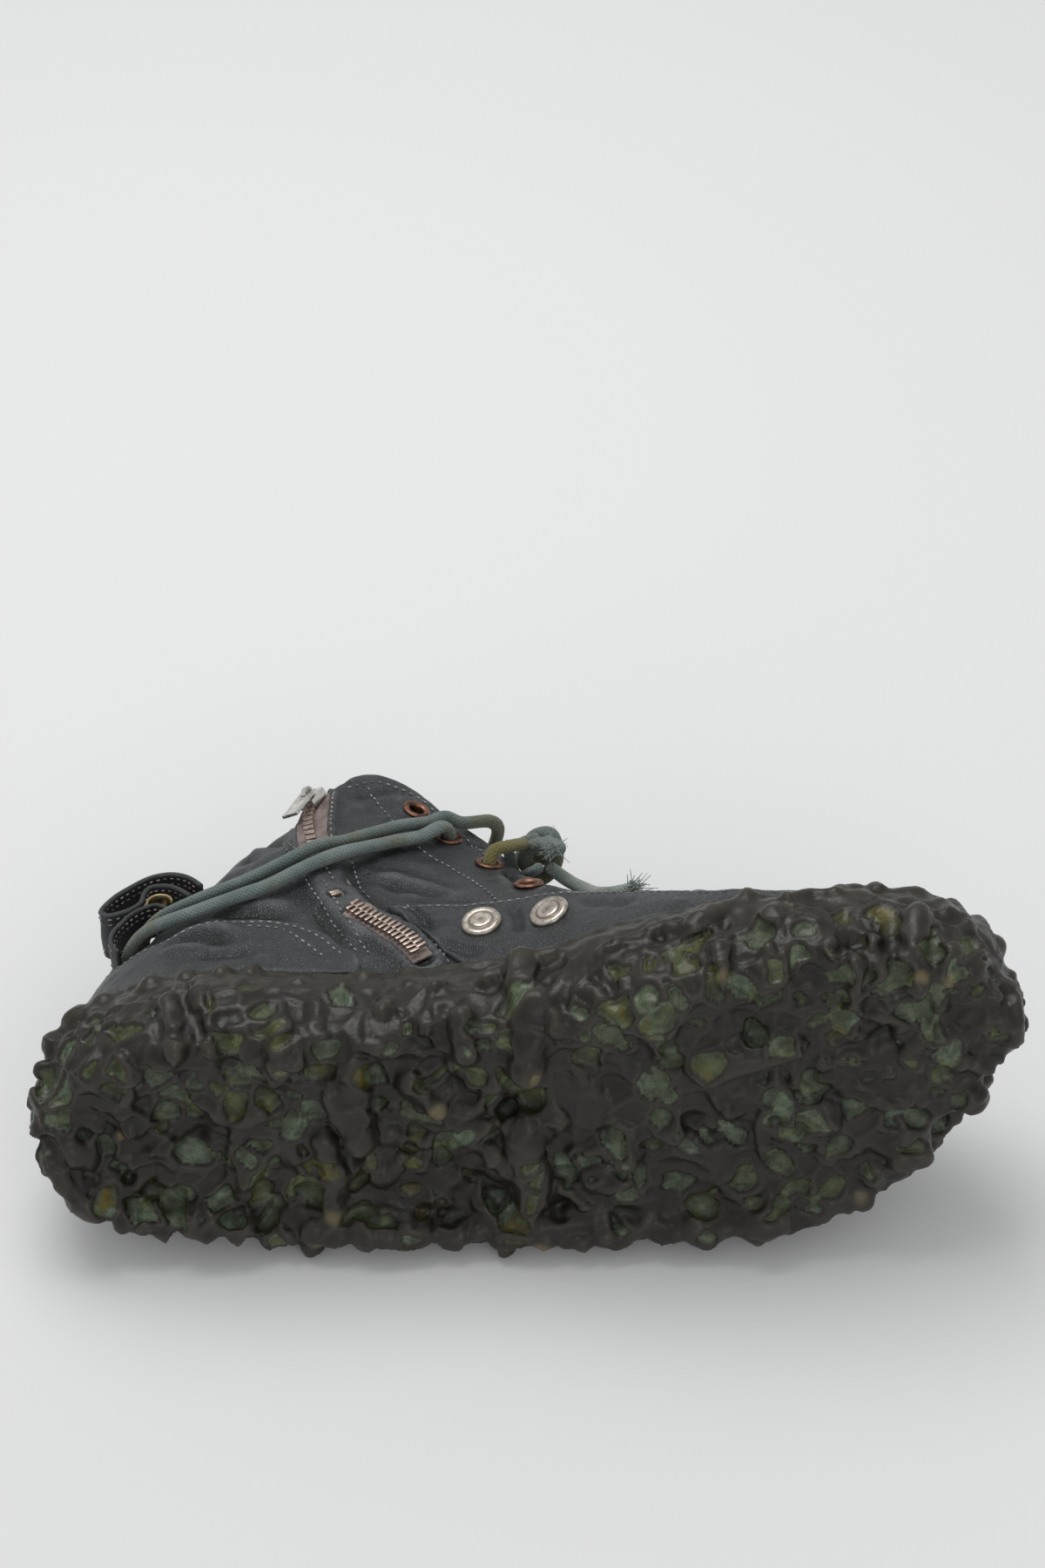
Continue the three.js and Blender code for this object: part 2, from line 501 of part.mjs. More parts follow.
// Tongue: tucked under both edges of the throat, bridging it between them
const TONGUE = { rows: 13, tuck: 0.17, depth: LEATHER + 0.9, crown: 3, rise: 8 };
function tongueRow(share, lift) {
  const inner = 15.4 + share * (7.3 - 15.4);
  const outerRib = 16.6 + share * (24.7 - 16.6);
  const tuck = TONGUE.tuck * clamp(0.5 + share, 0, 1);
  const side = (q) => [1 - tuck, 1 - tuck / 2, 1].map((t) => over(q, t, lift));
  const medial = side(inner);
  const lateral = side(outerRib).reverse();
  const [a, b] = [medial[2], lateral[0]];
  const out = skinOut(inner, 1).add(skinOut(outerRib, 1)).normalize();
  const crown = TONGUE.crown * clamp(share * 3, 0, 1);
  const bridge = [1, 2, 3].map((k) => a.clone().lerp(b, k / 4).addScaledVector(out, crown * Math.sin(Math.PI * k / 4)));
  return [...medial, ...bridge, ...lateral];
}

function tongue() {
  const faces = [-TONGUE.depth, -TONGUE.depth - LEATHER].map((lift) => {
    const rows = Array.from({ length: TONGUE.rows }, (_, i) => tongueRow(i / (TONGUE.rows - 1), lift));
    const [last, before] = [rows.at(-1), rows.at(-2)];
    rows.push(last.map((p, i) => p.clone().addScaledVector(p.clone().sub(before[i]).normalize(), TONGUE.rise)));
    return rows;
  });
  return ringSolid(faces[0].map((row, i) => [...row, ...[...faces[1][i]].reverse()]), 'strip');
}

// Panels on the leather
function panel(columns, high = CLEAR + LEATHER) {
  const steps = 4;
  return sheet(columns.map(([foot, head]) => Array.from({ length: steps + 1 },
    (_, k) => [0, 1].map((axis) => THREE.MathUtils.lerp(foot[axis], head[axis], k / steps)))), CLEAR, high);
}

function quarterFlap() {
  const count = 12;
  return panel(Array.from({ length: count + 1 }, (_, i) => {
    const x = i / count;
    const q = THREE.MathUtils.lerp(FLAP_TOP[0][0], FLAP_TOP.at(-1)[0], x);
    const footQ = THREE.MathUtils.lerp(FLAP_BACK, FLAP_TOP.at(-1)[0], x);
    return [[footQ, PANEL_FOOT], [q, edgeAt(FLAP_TOP, q)]];
  }));
}

function heelCounter() {
  const count = 18;
  return panel(Array.from({ length: count + 1 }, (_, i) => {
    const q = THREE.MathUtils.lerp(COUNTER_TOP[0][0], COUNTER_TOP.at(-1)[0], i / count);
    return [[q, PANEL_FOOT], [q, edgeAt(COUNTER_TOP, q)]];
  }));
}

// Eyelets and snaps
const eyeletProfile = [[EYELET_BORE, -LEATHER], [EYELET_BORE + EYELET_FLANGE, -LEATHER],
  [EYELET_BORE + EYELET_FLANGE, CLEAR], [EYELET_RADIUS, CLEAR], [EYELET_RADIUS - 0.5, CLEAR + EYELET_FLANGE],
  [EYELET_BORE + 0.5, CLEAR + EYELET_FLANGE], [EYELET_BORE, CLEAR], [EYELET_BORE, -LEATHER]];
const snapProfile = [[0, 0], [SNAP_RADIUS, 0], [SNAP_RADIUS, 0.35 * SNAP_HEIGHT],
  [0.9 * SNAP_RADIUS, 0.75 * SNAP_HEIGHT], [0.6 * SNAP_RADIUS, 0.62 * SNAP_HEIGHT],
  [0.55 * SNAP_RADIUS, 0.9 * SNAP_HEIGHT], [0, SNAP_HEIGHT]];

// Zip: places along its middle, spaced by their length
const zipSamples = Array.from({ length: 201 }, (_, i) => pathPoint(ZIP_PATH, i / 200));
const zipReach = [0];
for (let i = 1; i < zipSamples.length; i++) {
  zipReach.push(zipReach[i - 1] + skin(...zipSamples[i]).distanceTo(skin(...zipSamples[i - 1])));
}
const ZIP_LENGTH = zipReach.at(-1);
function zipAt(distance) {
  const i = clamp(zipReach.findIndex((d) => d >= distance), 1, zipSamples.length - 1);
  const [a, b] = [zipSamples[i - 1], zipSamples[i]];
  const share = clamp((distance - zipReach[i - 1]) / (zipReach[i] - zipReach[i - 1]), 0, 1);
  return { q: THREE.MathUtils.lerp(a[0], b[0], share), t: THREE.MathUtils.lerp(a[1], b[1], share),
    heading: [b[0] - a[0], b[1] - a[1]] };
}
function zipFrame(distance, lift) {
  const { q, t, heading } = zipAt(distance);
  return seat(q, t, lift, heading.map((step) => step * 40));
}

function strip(half, low, high, from, to, count) {
  return ringSolid(Array.from({ length: count + 1 }, (_, i) => {
    const frame = zipFrame(THREE.MathUtils.lerp(from, to, i / count), 0);
    return [[-half, high], [half, high], [half, low], [-half, low]].map(([across, lift]) => (
      new THREE.Vector3(0, lift, across).applyMatrix4(frame)));
  }), 'strip');
}

const TAPE_LOW = 0.75;      // the tape bridges the curve of the leather
const CHAIN_LOW = TAPE_LOW + TAPE + GAP;
function zipTape() {
  return strip(TAPE_HALF, TAPE_LOW, TAPE_LOW + TAPE, 1, ZIP_LENGTH - 1, 24);
}
function zipChain() {
  const from = SLIDER_AT * ZIP_LENGTH + SLIDER.length / 2 + 1.2;
  const to = ZIP_LENGTH - 3;
  // one body whose section steps out at each tooth and back at each space between two
  const section = (distance, half, high) => {
    const frame = zipFrame(distance, CHAIN_LOW);
    return [[-half, high], [half, high], [half, 0], [-half, 0]].map(([across, lift]) => (
      new THREE.Vector3(0, lift, across).applyMatrix4(frame)));
  };
  const rings = [];
  for (let at = from; at + TOOTH_LENGTH <= to; at += TOOTH_PITCH) {
    const [start, end] = [at, at + TOOTH_LENGTH];
    if (rings.length) rings.push(section(start, 0.4 * CHAIN_HALF, 0.6 * TOOTH_HEIGHT));
    rings.push(section(start, CHAIN_HALF, TOOTH_HEIGHT), section(end, CHAIN_HALF, TOOTH_HEIGHT));
    if (end + TOOTH_PITCH <= to) rings.push(section(end, 0.4 * CHAIN_HALF, 0.6 * TOOTH_HEIGHT));
  }
  return ringSolid(rings, 'strip');
}

// Slider with its bridge, and the pull that turns on it. The pull's bar lies at the frame's origin.
const TURN_ROOM = 0.5 * Math.hypot(PULL.bar, PULL.thickness) + GAP;
const BAR_UP = SLIDER.height + TURN_ROOM;
const SLIDER_LIFT = 0.7;    // it sits askew, so its corners need room over the tape
function slider() {
  const body = new THREE.BoxGeometry(SLIDER.length, SLIDER.height, SLIDER.width)
    .translate(0, SLIDER.height / 2 - BAR_UP, 0);
  const [inner, outer] = [TURN_ROOM, TURN_ROOM + SLIDER.post];
  const arch = new THREE.Shape();
  arch.moveTo(-outer, -TURN_ROOM - 0.5);
  arch.lineTo(-outer, 0.5 * outer);
  arch.lineTo(-0.5 * outer, outer);
  arch.lineTo(0.5 * outer, outer);
  arch.lineTo(outer, 0.5 * outer);
  arch.lineTo(outer, -TURN_ROOM - 0.5);
  arch.lineTo(inner, -TURN_ROOM - 0.5);
  arch.lineTo(inner, 0.55 * inner);
  arch.lineTo(0.55 * inner, inner);
  arch.lineTo(-0.55 * inner, inner);
  arch.lineTo(-inner, 0.55 * inner);
  arch.lineTo(-inner, -TURN_ROOM - 0.5);
  arch.closePath();
  const bridge = new THREE.ExtrudeGeometry(arch, { depth: SLIDER.bridge, bevelEnabled: false })
    .translate(0, 0, -SLIDER.bridge / 2);
  return fromManifold(toManifold(body).add(toManifold(bridge)));
}
function pull() {
  const [half, bar] = [PULL.width / 2, PULL.bar / 2];
  const plate = new THREE.Shape([[-bar, -half + 0.8], [0.4, -half], [PULL.length - 1.2, -half],
    [PULL.length, -half + 1.2], [PULL.length, half - 1.2], [PULL.length - 1.2, half], [0.4, half],
    [-bar, half - 0.8]].map(([x, y]) => new THREE.Vector2(x, y)));
  const reach = Math.hypot(TURN_ROOM + SLIDER.post, TURN_ROOM + SLIDER.post) + GAP;
  const side = SLIDER.bridge / 2 + GAP + 0.1;
  plate.holes.push(new THREE.Path([[bar, -side], [bar, side], [reach, side], [reach, -side]]
    .map(([x, y]) => new THREE.Vector2(x, y))));
  return tidy(new THREE.ExtrudeGeometry(plate, { depth: PULL.thickness, bevelEnabled: false })
    .translate(0, 0, -PULL.thickness / 2).rotateX(Math.PI / 2));
}

// Straps at the heel, as [along, up] points
const PULL_LOOP_LINE = [[40.4, 120.6], [34.5, 126.2], [28.5, 127.4], [21.5, 124.6], [14.2, 117.0], [9.3, 109.6],
  [8.7, 105.4], [10.9, 103.6], [17.6, 106.4], [21.4, 111.0], [21.6, 116.0], [23.2, 119.4], [28.6, 120.4],
  [33.4, 118.6], [37.4, 115.0]];
const LACE_LOOP_LINE = [[31.6, 105.2], [27, 107.4], [21.6, 104.6], [17.4, 98.5], [15.0, 91.5], [15.4, 85.5],
  [18.2, 81.4]];

function ring() {
  const [outer, inner] = [RING.radius, RING.radius - RING.wall];
  const arc = (radius, from, to) => Array.from({ length: 9 }, (_, i) => {
    const turn = radians(THREE.MathUtils.lerp(from, to, i / 8));
    return new THREE.Vector2(radius * Math.cos(turn), radius * Math.sin(turn));
  });
  const shape = new THREE.Shape([...arc(outer, 15, 190), ...arc(inner, 190, 15)]);
  return tidy(new THREE.ExtrudeGeometry(shape, { depth: RING.depth, bevelEnabled: false }));
}

// Laces. The first runs from the second medial eyelet round the heel to the knot. The second starts
// at the lateral side, arcs over the throat and runs beside it. Both pass through the loop at the heel.
const LIFT = LACE / 2 + 1.0;
const KNOT_AT = drawn(155, 12.5, 136.5);
const lowerRun = [[7.75, 0.80, 1.9], [7.10, 0.71, 0], [6.35, 0.65, 0], [5.90, 0.60, 1.4], [5.35, 0.53, 3.2],
  [4.85, 0.48, 1.7], [4.40, 0.43, 0], [3.90, 0.39, 0], [3.35, 0.37, 0], [2.70, 0.37, 0], [2.10, 0.39, 0],
  [1.50, 0.415, 0], [0.90, 0.43, 0], [0.30, 0.44, 0], [-0.30, 0.44, 0], [-0.90, 0.44, 0], [-1.60, 0.43, 0],
  [-2.40, 0.42, 0], [-3.20, 0.42, 0], [-4.00, 0.43, 0], [-4.90, 0.45, 0], [-5.80, 0.49, 0], [-6.60, 0.54, 0.6],
  [-7.35, 0.62, 1.6], [-7.95, 0.77, 3.4], [-8.12, 0.92, 8]];
const upperRun = [[8.35, 0.93, 0.4], [7.85, 0.875, 1.9], [7.30, 0.80, 0.4], [6.65, 0.745, 0], [5.90, 0.675, 0.3],
  [5.45, 0.625, 1.4], [4.95, 0.575, 3.2], [4.45, 0.53, 1.4], [3.85, 0.485, 0], [3.20, 0.455, 0], [2.60, 0.455, 0],
  [2.05, 0.465, 0], [1.50, 0.48, 0], [0.90, 0.49, 0], [0.30, 0.497, 0], [-0.30, 0.497, 0], [-0.90, 0.497, 0],
  [-1.60, 0.49, 0], [-2.40, 0.48, 0], [-3.20, 0.48, 0], [-4.00, 0.49, 0], [-4.90, 0.51, 0], [-5.80, 0.555, 0.3],
  [-6.50, 0.62, 1.6], [-7.05, 0.74, 3.4], [-7.35, 0.90, 9]];
const run = (rows) => rows.map(([q, t, extra]) => over(q, t, LIFT + extra));
const WRAP_1 = [...run(lowerRun), drawn(150.5, -8, 134), drawn(152.4, 4.2, 136)];
const WRAP_2 = [over(-6.45, 0.86, LIFT + 1.9), drawn(128, -20, 150), drawn(133, -11, 155), drawn(138, -1, 157.5),
  drawn(139.5, 7, 156), drawn(137.5, 13.5, 151), ...run(upperRun), drawn(143, -8, 143.5),
  drawn(146, 1, 143), drawn(149.3, 7.6, 141.2)];
const TAIL_1 = [drawn(157.8, 18.6, 130.4), drawn(161, 22.5, 123), drawn(162.5, 27.5, 115), drawn(161, 33, 106.5)];
const TAIL_2 = [drawn(159, 8.5, 130.4), drawn(165, 8, 124), drawn(171, 11.5, 114), drawn(176.5, 16, 105.5),
  drawn(182, 21, 99.5), drawn(187, 24, 97)];

const STRAND = [over(8.98, 0.77, LIFT + 1.2), drawn(146.5, 21.8, 124.5), drawn(150.2, 18.4, 130.6)];

// Two short bars that cross over the tongue between the third and fourth eyelets
function laceBars() {
  const bar = (from, mid, to) => cord([from, ...mid, to], 8, 0.9 * LACE);
  const high = (q, t, lift) => over(q, t, lift);
  const first = bar(high(9.45, 0.985, LIFT + 1.5), [drawn(147, 0.5, 132)], high(-8.0, 0.985, LIFT + 1.5));
  const second = bar(high(10.1, 0.985, LIFT + 1.5), [drawn(147, 0.5, 132)], high(-7.4, 0.985, LIFT + 1.5));
  return fromManifold(toManifold(first).add(toManifold(second)));
}

function knot() {
  let body = toManifold(new THREE.SphereGeometry(KNOT, 8, 5));
  for (const [turn, tilt] of [[0.3, 0.5], [2.1, -0.4]]) {
    const coil = new THREE.TorusGeometry(0.72 * KNOT, 0.34 * KNOT, 5, 7).rotateX(tilt).rotateY(turn);
    body = body.add(toManifold(coil));
  }
  return fromManifold(body);
}

add('outsole', outsole(), '#2c2a24', 0.5);
add('upper', upper(), '#34383b', 0.6);
add('insole', insole(), '#5b564c', 0.8);
add('tongue', tongue(), '#2c2f32', 0.65);
add('quarter_flap', quarterFlap(), '#363a3d', 0.6);
add('heel_counter', heelCounter(), '#34383a', 0.6);
MEDIAL_EYELETS.forEach(([q, t], i) => {
  addOn(`eyelet_medial_${i + 1}`, turned(eyeletProfile, 8), seat(q, t, 0), '#7b4f3c', 0.45, 0.9);
});
LATERAL_EYELETS.forEach(([q, t], i) => {
  addOn(`eyelet_lateral_${i + 1}`, turned(eyeletProfile, 8), seat(q, t, LATERAL_LIFT), '#7b4f3c', 0.45, 0.9);
});
SNAPS.forEach(([q, t], i) => {
  addOn(`snap_cap_${i + 1}`, turned(snapProfile, 14), seat(q, t, 2 * CLEAR + LEATHER + 0.2), '#b3a595', 0.35, 1);
});
add('zip_tape', zipTape(), '#5c5353', 0.85);
add('zip_chain', zipChain(), '#b6a698', 0.35, 1);
const sliderFrame = seat(zipAt(SLIDER_AT * ZIP_LENGTH).q, zipAt(SLIDER_AT * ZIP_LENGTH).t,
  CHAIN_LOW + SLIDER_LIFT + BAR_UP, SLIDER_HEADING);
addOn('zip_slider', slider(), sliderFrame, '#b9b6b1', 0.3, 1);
addOn('zip_pull', pull(), sliderFrame, '#cfcdc9', 0.25, 1);
add('heel_pull_loop', strap(PULL_LOOP_LINE, PULL_LOOP.thickness, PULL_LOOP.width, PULL_LOOP.inward),
  '#26282a', 0.7);
add('heel_lace_loop', strap(LACE_LOOP_LINE, LACE_LOOP.thickness, LACE_LOOP.width, LACE_LOOP.inward),
  '#2b2d2f', 0.7);
const heelRing = add('heel_ring', ring(), '#8d7c55', 0.4, 1);
heelRing.position.copy(drawn(28.2, 5.4, 108.2));
add('lace_bars', laceBars(), '#5f6b66', 0.9);
add('lace_wrap_1', cord(WRAP_1, 28), '#6b7c7a', 0.9);
add('lace_wrap_2', cord(WRAP_2, 34), '#5f6d66', 0.9);
const laceKnot = add('lace_knot', knot(), '#66706c', 0.95);
laceKnot.position.copy(KNOT_AT);
add('lace_tail_1', cord(TAIL_1, 5), '#6d7350', 0.9);
add('lace_tail_2', cord(TAIL_2, 7), '#8b9089', 0.9);
add('lace_strand', cord(STRAND, 4), '#6f7146', 0.9);

// Laid down on its lateral side, over the middle of its own box, with the floor at zero
shoe.rotation.x = -radians(LEAN);
const model = new THREE.Group();
model.add(shoe);
model.updateMatrixWorld(true);
const box = new THREE.Box3();
for (const mesh of shoe.children) {
  if (/^lace_(wrap|knot|tail|strand)/.test(mesh.name)) continue;
  box.expandByObject(mesh, true);
}
const middle = box.getCenter(new THREE.Vector3());
model.position.set(-middle.x, -middle.y, -box.min.z);

export default model;
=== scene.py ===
# %% [markdown]
# # A worn high sneaker on a dripping rubber sole
# The left shoe of a pair. It lies on its lateral side and shows its tread, its zip and its snaps.
# This lesson dresses the plain frame of the shoe: first the camera, then the rubber, the leather,
# the metal and the laces, one cell at a time. All lengths are metres.

# %% Libraries and the frame
import json
import math
import random

import bmesh
import bpy
import numpy as np
from mathutils import Matrix, Vector
from mathutils.bvhtree import BVHTree

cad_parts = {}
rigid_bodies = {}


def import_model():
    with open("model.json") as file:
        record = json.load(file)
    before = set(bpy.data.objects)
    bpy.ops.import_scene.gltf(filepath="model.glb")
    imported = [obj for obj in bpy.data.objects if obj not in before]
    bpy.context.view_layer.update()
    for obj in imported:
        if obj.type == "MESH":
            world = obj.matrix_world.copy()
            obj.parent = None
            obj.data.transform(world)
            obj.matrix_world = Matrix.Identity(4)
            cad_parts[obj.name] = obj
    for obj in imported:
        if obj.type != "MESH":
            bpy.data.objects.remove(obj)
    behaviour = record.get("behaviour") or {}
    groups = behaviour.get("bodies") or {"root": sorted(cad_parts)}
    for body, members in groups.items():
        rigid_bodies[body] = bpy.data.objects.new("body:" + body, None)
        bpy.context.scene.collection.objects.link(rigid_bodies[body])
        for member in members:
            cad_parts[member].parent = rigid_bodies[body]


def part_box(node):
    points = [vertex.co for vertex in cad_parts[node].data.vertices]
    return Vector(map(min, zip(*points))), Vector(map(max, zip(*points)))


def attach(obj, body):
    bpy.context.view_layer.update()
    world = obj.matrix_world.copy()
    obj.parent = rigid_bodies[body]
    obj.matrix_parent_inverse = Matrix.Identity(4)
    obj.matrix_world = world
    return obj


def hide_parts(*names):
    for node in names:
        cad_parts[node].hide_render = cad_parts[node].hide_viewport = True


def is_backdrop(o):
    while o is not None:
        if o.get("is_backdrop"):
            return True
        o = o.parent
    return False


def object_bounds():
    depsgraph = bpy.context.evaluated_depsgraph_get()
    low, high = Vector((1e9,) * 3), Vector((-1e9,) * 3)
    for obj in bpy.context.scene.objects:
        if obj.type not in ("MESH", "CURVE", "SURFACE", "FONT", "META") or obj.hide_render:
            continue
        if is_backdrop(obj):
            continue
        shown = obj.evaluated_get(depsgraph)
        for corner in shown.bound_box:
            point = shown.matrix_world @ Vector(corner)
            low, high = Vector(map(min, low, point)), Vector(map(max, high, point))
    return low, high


for leftover in list(bpy.data.objects):
    bpy.data.objects.remove(leftover)
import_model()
cad_low, cad_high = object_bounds()
MM = 0.001

# %% [markdown]
# ## The shoe's own shape
# A last is a lofted form: a row of ribs stands round the foot, and each rib is one smooth arc from
# the rubber's edge up to the collar or the throat. The frame was made from the same ribs, so the
# fine leather is worked out from them again, and every panel, stitch and crease has its place as
# (q, t): q counts the ribs round the shoe from the heel, t climbs from the rubber to the top.

# %% Driving sizes
LENGTH = 308 * MM
BALL_WIDTH = 108 * MM
SHAFT_HEIGHT = 162 * MM
SOLE_HEIGHT = 40 * MM
BED_HEIGHT = 24 * MM
TREAD_HEIGHT = 7 * MM
TOE_SPRING = 8 * MM
ARCH_RISE = 3 * MM
RIM_WALL = 7 * MM
LEATHER = 1.8 * MM
INSOLE = 3.5 * MM
INSOLE_SEAT = 0.7 * MM
INSOLE_EDGE = 1.2 * MM
LUMP = 1.6 * MM
GAP = 0.3 * MM
CLEAR = 0.4 * MM
LEAN = math.radians(8)
LACE = 4.8 * MM

RIB_COLUMNS = ["edge_along", "edge_in", "belly_out", "belly_up", "top_along", "top_in", "top_up",
               "shoulder", "drop"]
RIBS = np.array([
    [0.000, -0.045, -0.01, 0.15, 0.200, -0.035, 0.860, 0.48, 0.105],   # heel
    [0.016, 0.100, -0.01, 0.15, 0.208, 0.055, 0.865, 0.45, 0.110],
    [0.055, 0.205, 0.00, 0.17, 0.225, 0.130, 0.878, 0.38, 0.135],
    [0.110, 0.280, 0.01, 0.19, 0.244, 0.185, 0.895, 0.28, 0.170],
    [0.170, 0.315, 0.03, 0.21, 0.264, 0.230, 0.925, 0.18, 0.215],      # zip's top
    [0.245, 0.325, 0.04, 0.21, 0.292, 0.250, 0.970, 0.08, 0.260],
    [0.320, 0.320, 0.04, 0.20, 0.325, 0.230, 1.000, 0.04, 0.280],      # highest point
    [0.393, 0.330, 0.04, 0.20, 0.360, 0.200, 0.980, 0.04, 0.260],      # first eyelet
    [0.455, 0.352, 0.04, 0.19, 0.396, 0.158, 0.930, 0.06, 0.215],
    [0.513, 0.390, 0.04, 0.18, 0.442, 0.135, 0.850, 0.12, 0.155],
    [0.578, 0.475, 0.02, 0.16, 0.487, 0.120, 0.745, 0.20, 0.090],
    [0.662, 0.555, 0.01, 0.13, 0.536, 0.100, 0.630, 0.30, 0.055],
    [0.766, 0.606, 0.01, 0.10, 0.575, 0.075, 0.575, 0.36, 0.055],      # ball, medial
    [0.857, 0.615, 0.01, 0.10, 0.594, 0.047, 0.555, 0.40, 0.070],
    [0.925, 0.565, 0.02, 0.10, 0.602, 0.033, 0.549, 0.45, 0.080],
    [0.971, 0.435, 0.02, 0.10, 0.607, 0.023, 0.549, 0.50, 0.090],
    [0.997, 0.240, 0.02, 0.10, 0.609, 0.010, 0.549, 0.52, 0.095],      # toe
    [0.974, 0.100, 0.02, 0.10, 0.607, -0.005, 0.549, 0.50, 0.090],
    [0.935, -0.045, 0.02, 0.10, 0.604, -0.020, 0.549, 0.45, 0.080],
    [0.864, -0.278, 0.02, 0.10, 0.597, -0.037, 0.555, 0.40, 0.070],
    [0.779, -0.375, 0.01, 0.12, 0.578, -0.065, 0.575, 0.36, 0.060],    # ball, lateral
    [0.675, -0.435, 0.01, 0.15, 0.536, -0.093, 0.630, 0.28, 0.060],
    [0.578, -0.458, 0.00, 0.18, 0.487, -0.110, 0.745, 0.18, 0.100],
    [0.497, -0.458, -0.04, 0.20, 0.442, -0.125, 0.850, 0.05, 0.160],
    [0.416, -0.463, -0.08, 0.21, 0.396, -0.160, 0.930, -0.08, 0.210],
    [0.325, -0.472, -0.10, 0.21, 0.357, -0.228, 0.975, -0.28, 0.250],  # collar, on the floor
    [0.234, -0.463, -0.10, 0.22, 0.312, -0.305, 0.963, -0.30, 0.240],
    [0.146, -0.430, -0.08, 0.22, 0.266, -0.305, 0.925, -0.10, 0.210],
    [0.062, -0.352, -0.03, 0.23, 0.230, -0.222, 0.890, 0.25, 0.150],
    [0.016, -0.204, -0.01, 0.17, 0.208, -0.120, 0.865, 0.43, 0.115],
])
HEEL_MIDDLE = np.array([0.137 * LENGTH, -0.065 * BALL_WIDTH])
TOE_MIDDLE = np.array([0.83 * LENGTH, 0.13 * BALL_WIDTH])
RIB_COUNT = len(RIBS)


def rib_value(column, q):
    """Smooth closed curve through the ribs' values in one column."""
    q = np.asarray(q, float)
    i = np.floor(q).astype(int)
    s = q - i
    a, b, c, d = (RIBS[(i + k) % RIB_COUNT, RIB_COLUMNS.index(column)] for k in (-1, 0, 1, 2))
    return 0.5 * (2 * b + (c - a) * s + (2 * a - 5 * b + 4 * c - d) * s**2
                  + (3 * b - a - 3 * c + d) * s**3)


def outline(q, inset=0.0, middle=0.0):
    """The rubber's outline at rib q, moved inwards, and the direction that points out of it."""
    edge = np.stack([rib_value("edge_along", q) * LENGTH, rib_value("edge_in", q) * BALL_WIDTH], -1)
    line = TOE_MIDDLE - HEEL_MIDDLE
    share = np.clip((edge - HEEL_MIDDLE) @ line / (line @ line), 0, 1)
    centre = HEEL_MIDDLE + share[..., None] * line
    out = edge - centre
    out = out / np.linalg.norm(out, axis=-1, keepdims=True)
    point = edge - np.asarray(inset)[..., None] * out
    return point + (centre - point) * np.asarray(middle)[..., None], out


def toe_rise(along):
    return TOE_SPRING * np.clip((along / LENGTH - 0.65) / 0.35, 0, 1) ** 2


def arch_rise(along):
    return ARCH_RISE * np.exp(-(((along / LENGTH - 0.42) / 0.12) ** 2))


# %% [markdown]
# ## Laying the shoe down
# The shoe tips 8 degrees towards its sole as it lies. The insole of the frame tells where the
# shoe's own zero lies, because its outline follows from the sizes alone.

# %% From the shoe's own places to the frame's
def lying(along, inward, up):
    along, inward, up = np.broadcast_arrays(along, inward, up)
    return np.stack([along, up * math.cos(LEAN) + inward * math.sin(LEAN),
                     inward * math.cos(LEAN) - up * math.sin(LEAN)], -1)


AROUND = np.arange(0, RIB_COUNT, 0.5)
bed_edge, _ = outline(AROUND, RIM_WALL + GAP + LEATHER + INSOLE_EDGE)
bed_up = BED_HEIGHT + INSOLE_SEAT + toe_rise(bed_edge[:, 0])
insole_low = np.minimum(lying(bed_edge[:, 0], bed_edge[:, 1], bed_up).min(0),
                        lying(bed_edge[:, 0], bed_edge[:, 1], bed_up + INSOLE).min(0))
ORIGIN = np.array(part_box("insole")[0]) - insole_low


def place(along, inward, up):
    return lying(along, inward, up) + ORIGIN


PRESS = 1.5 * MM      # softness of the leather where the floor presses it flat


def pressed(points):
    height = points[..., 2]
    soft = np.where(height <= -PRESS, 0, (height + PRESS) ** 2 / (4 * PRESS))
    points[..., 2] = np.where(height >= PRESS, height, soft)
    return points


def skin(q, t):
    """Outer face of the leather. Below t = 0 it stands inside the rubber rim."""
    q, t = np.broadcast_arrays(np.asarray(q, float), np.asarray(t, float))
    foot, out = outline(q, RIM_WALL + GAP)
    belly = rib_value("belly_out", q) * BALL_WIDTH
    lean = rib_value("shoulder", q)
    start = [foot[..., 0], foot[..., 1], SOLE_HEIGHT + MM + toe_rise(foot[..., 0])]
    top = [rib_value("top_along", q) * LENGTH, rib_value("top_in", q) * BALL_WIDTH,
           rib_value("top_up", q) * SHAFT_HEIGHT]
    first = [start[0] + out[..., 0] * belly, start[1] + out[..., 1] * belly,
             start[2] + rib_value("belly_up", q) * SHAFT_HEIGHT]
    second = [top[0] + (start[0] - top[0]) * lean, top[1] + (start[1] - top[1]) * lean,
              top[2] - rib_value("drop", q) * SHAFT_HEIGHT]
    b = np.clip(t, 0, 1)
    arc = [(1 - b) ** 3 * w + 3 * (1 - b) ** 2 * b * x + 3 * (1 - b) * b**2 * y + b**3 * z
           for w, x, y, z in zip(start, first, second, top)]
    arc[2] = arc[2] + np.minimum(t, 0) * (SOLE_HEIGHT + MM - BED_HEIGHT - CLEAR)
    return pressed(place(*arc))


def unit(vectors):
    return vectors / np.maximum(np.linalg.norm(vectors, axis=-1, keepdims=True), 1e-12)


def skin_out(q, t):
    """Direction that points out of the leather."""
    e = 1e-3
    q, t = np.broadcast_arrays(np.asarray(q, float), np.asarray(t, float))
    run = skin(q + e, t) - skin(q - e, t)
    rise = skin(q, np.minimum(t + e, 1)) - skin(q, np.maximum(t - e, -1))
    return unit(np.cross(run, rise))


def over(q, t, lift):
    return skin(q, t) + skin_out(q, t) * np.asarray(lift)[..., None]


def sampled(at, reach, rows):
    """Rows read off at distances along them."""
    return np.stack([np.interp(at, reach, column) for column in rows.T], -1)


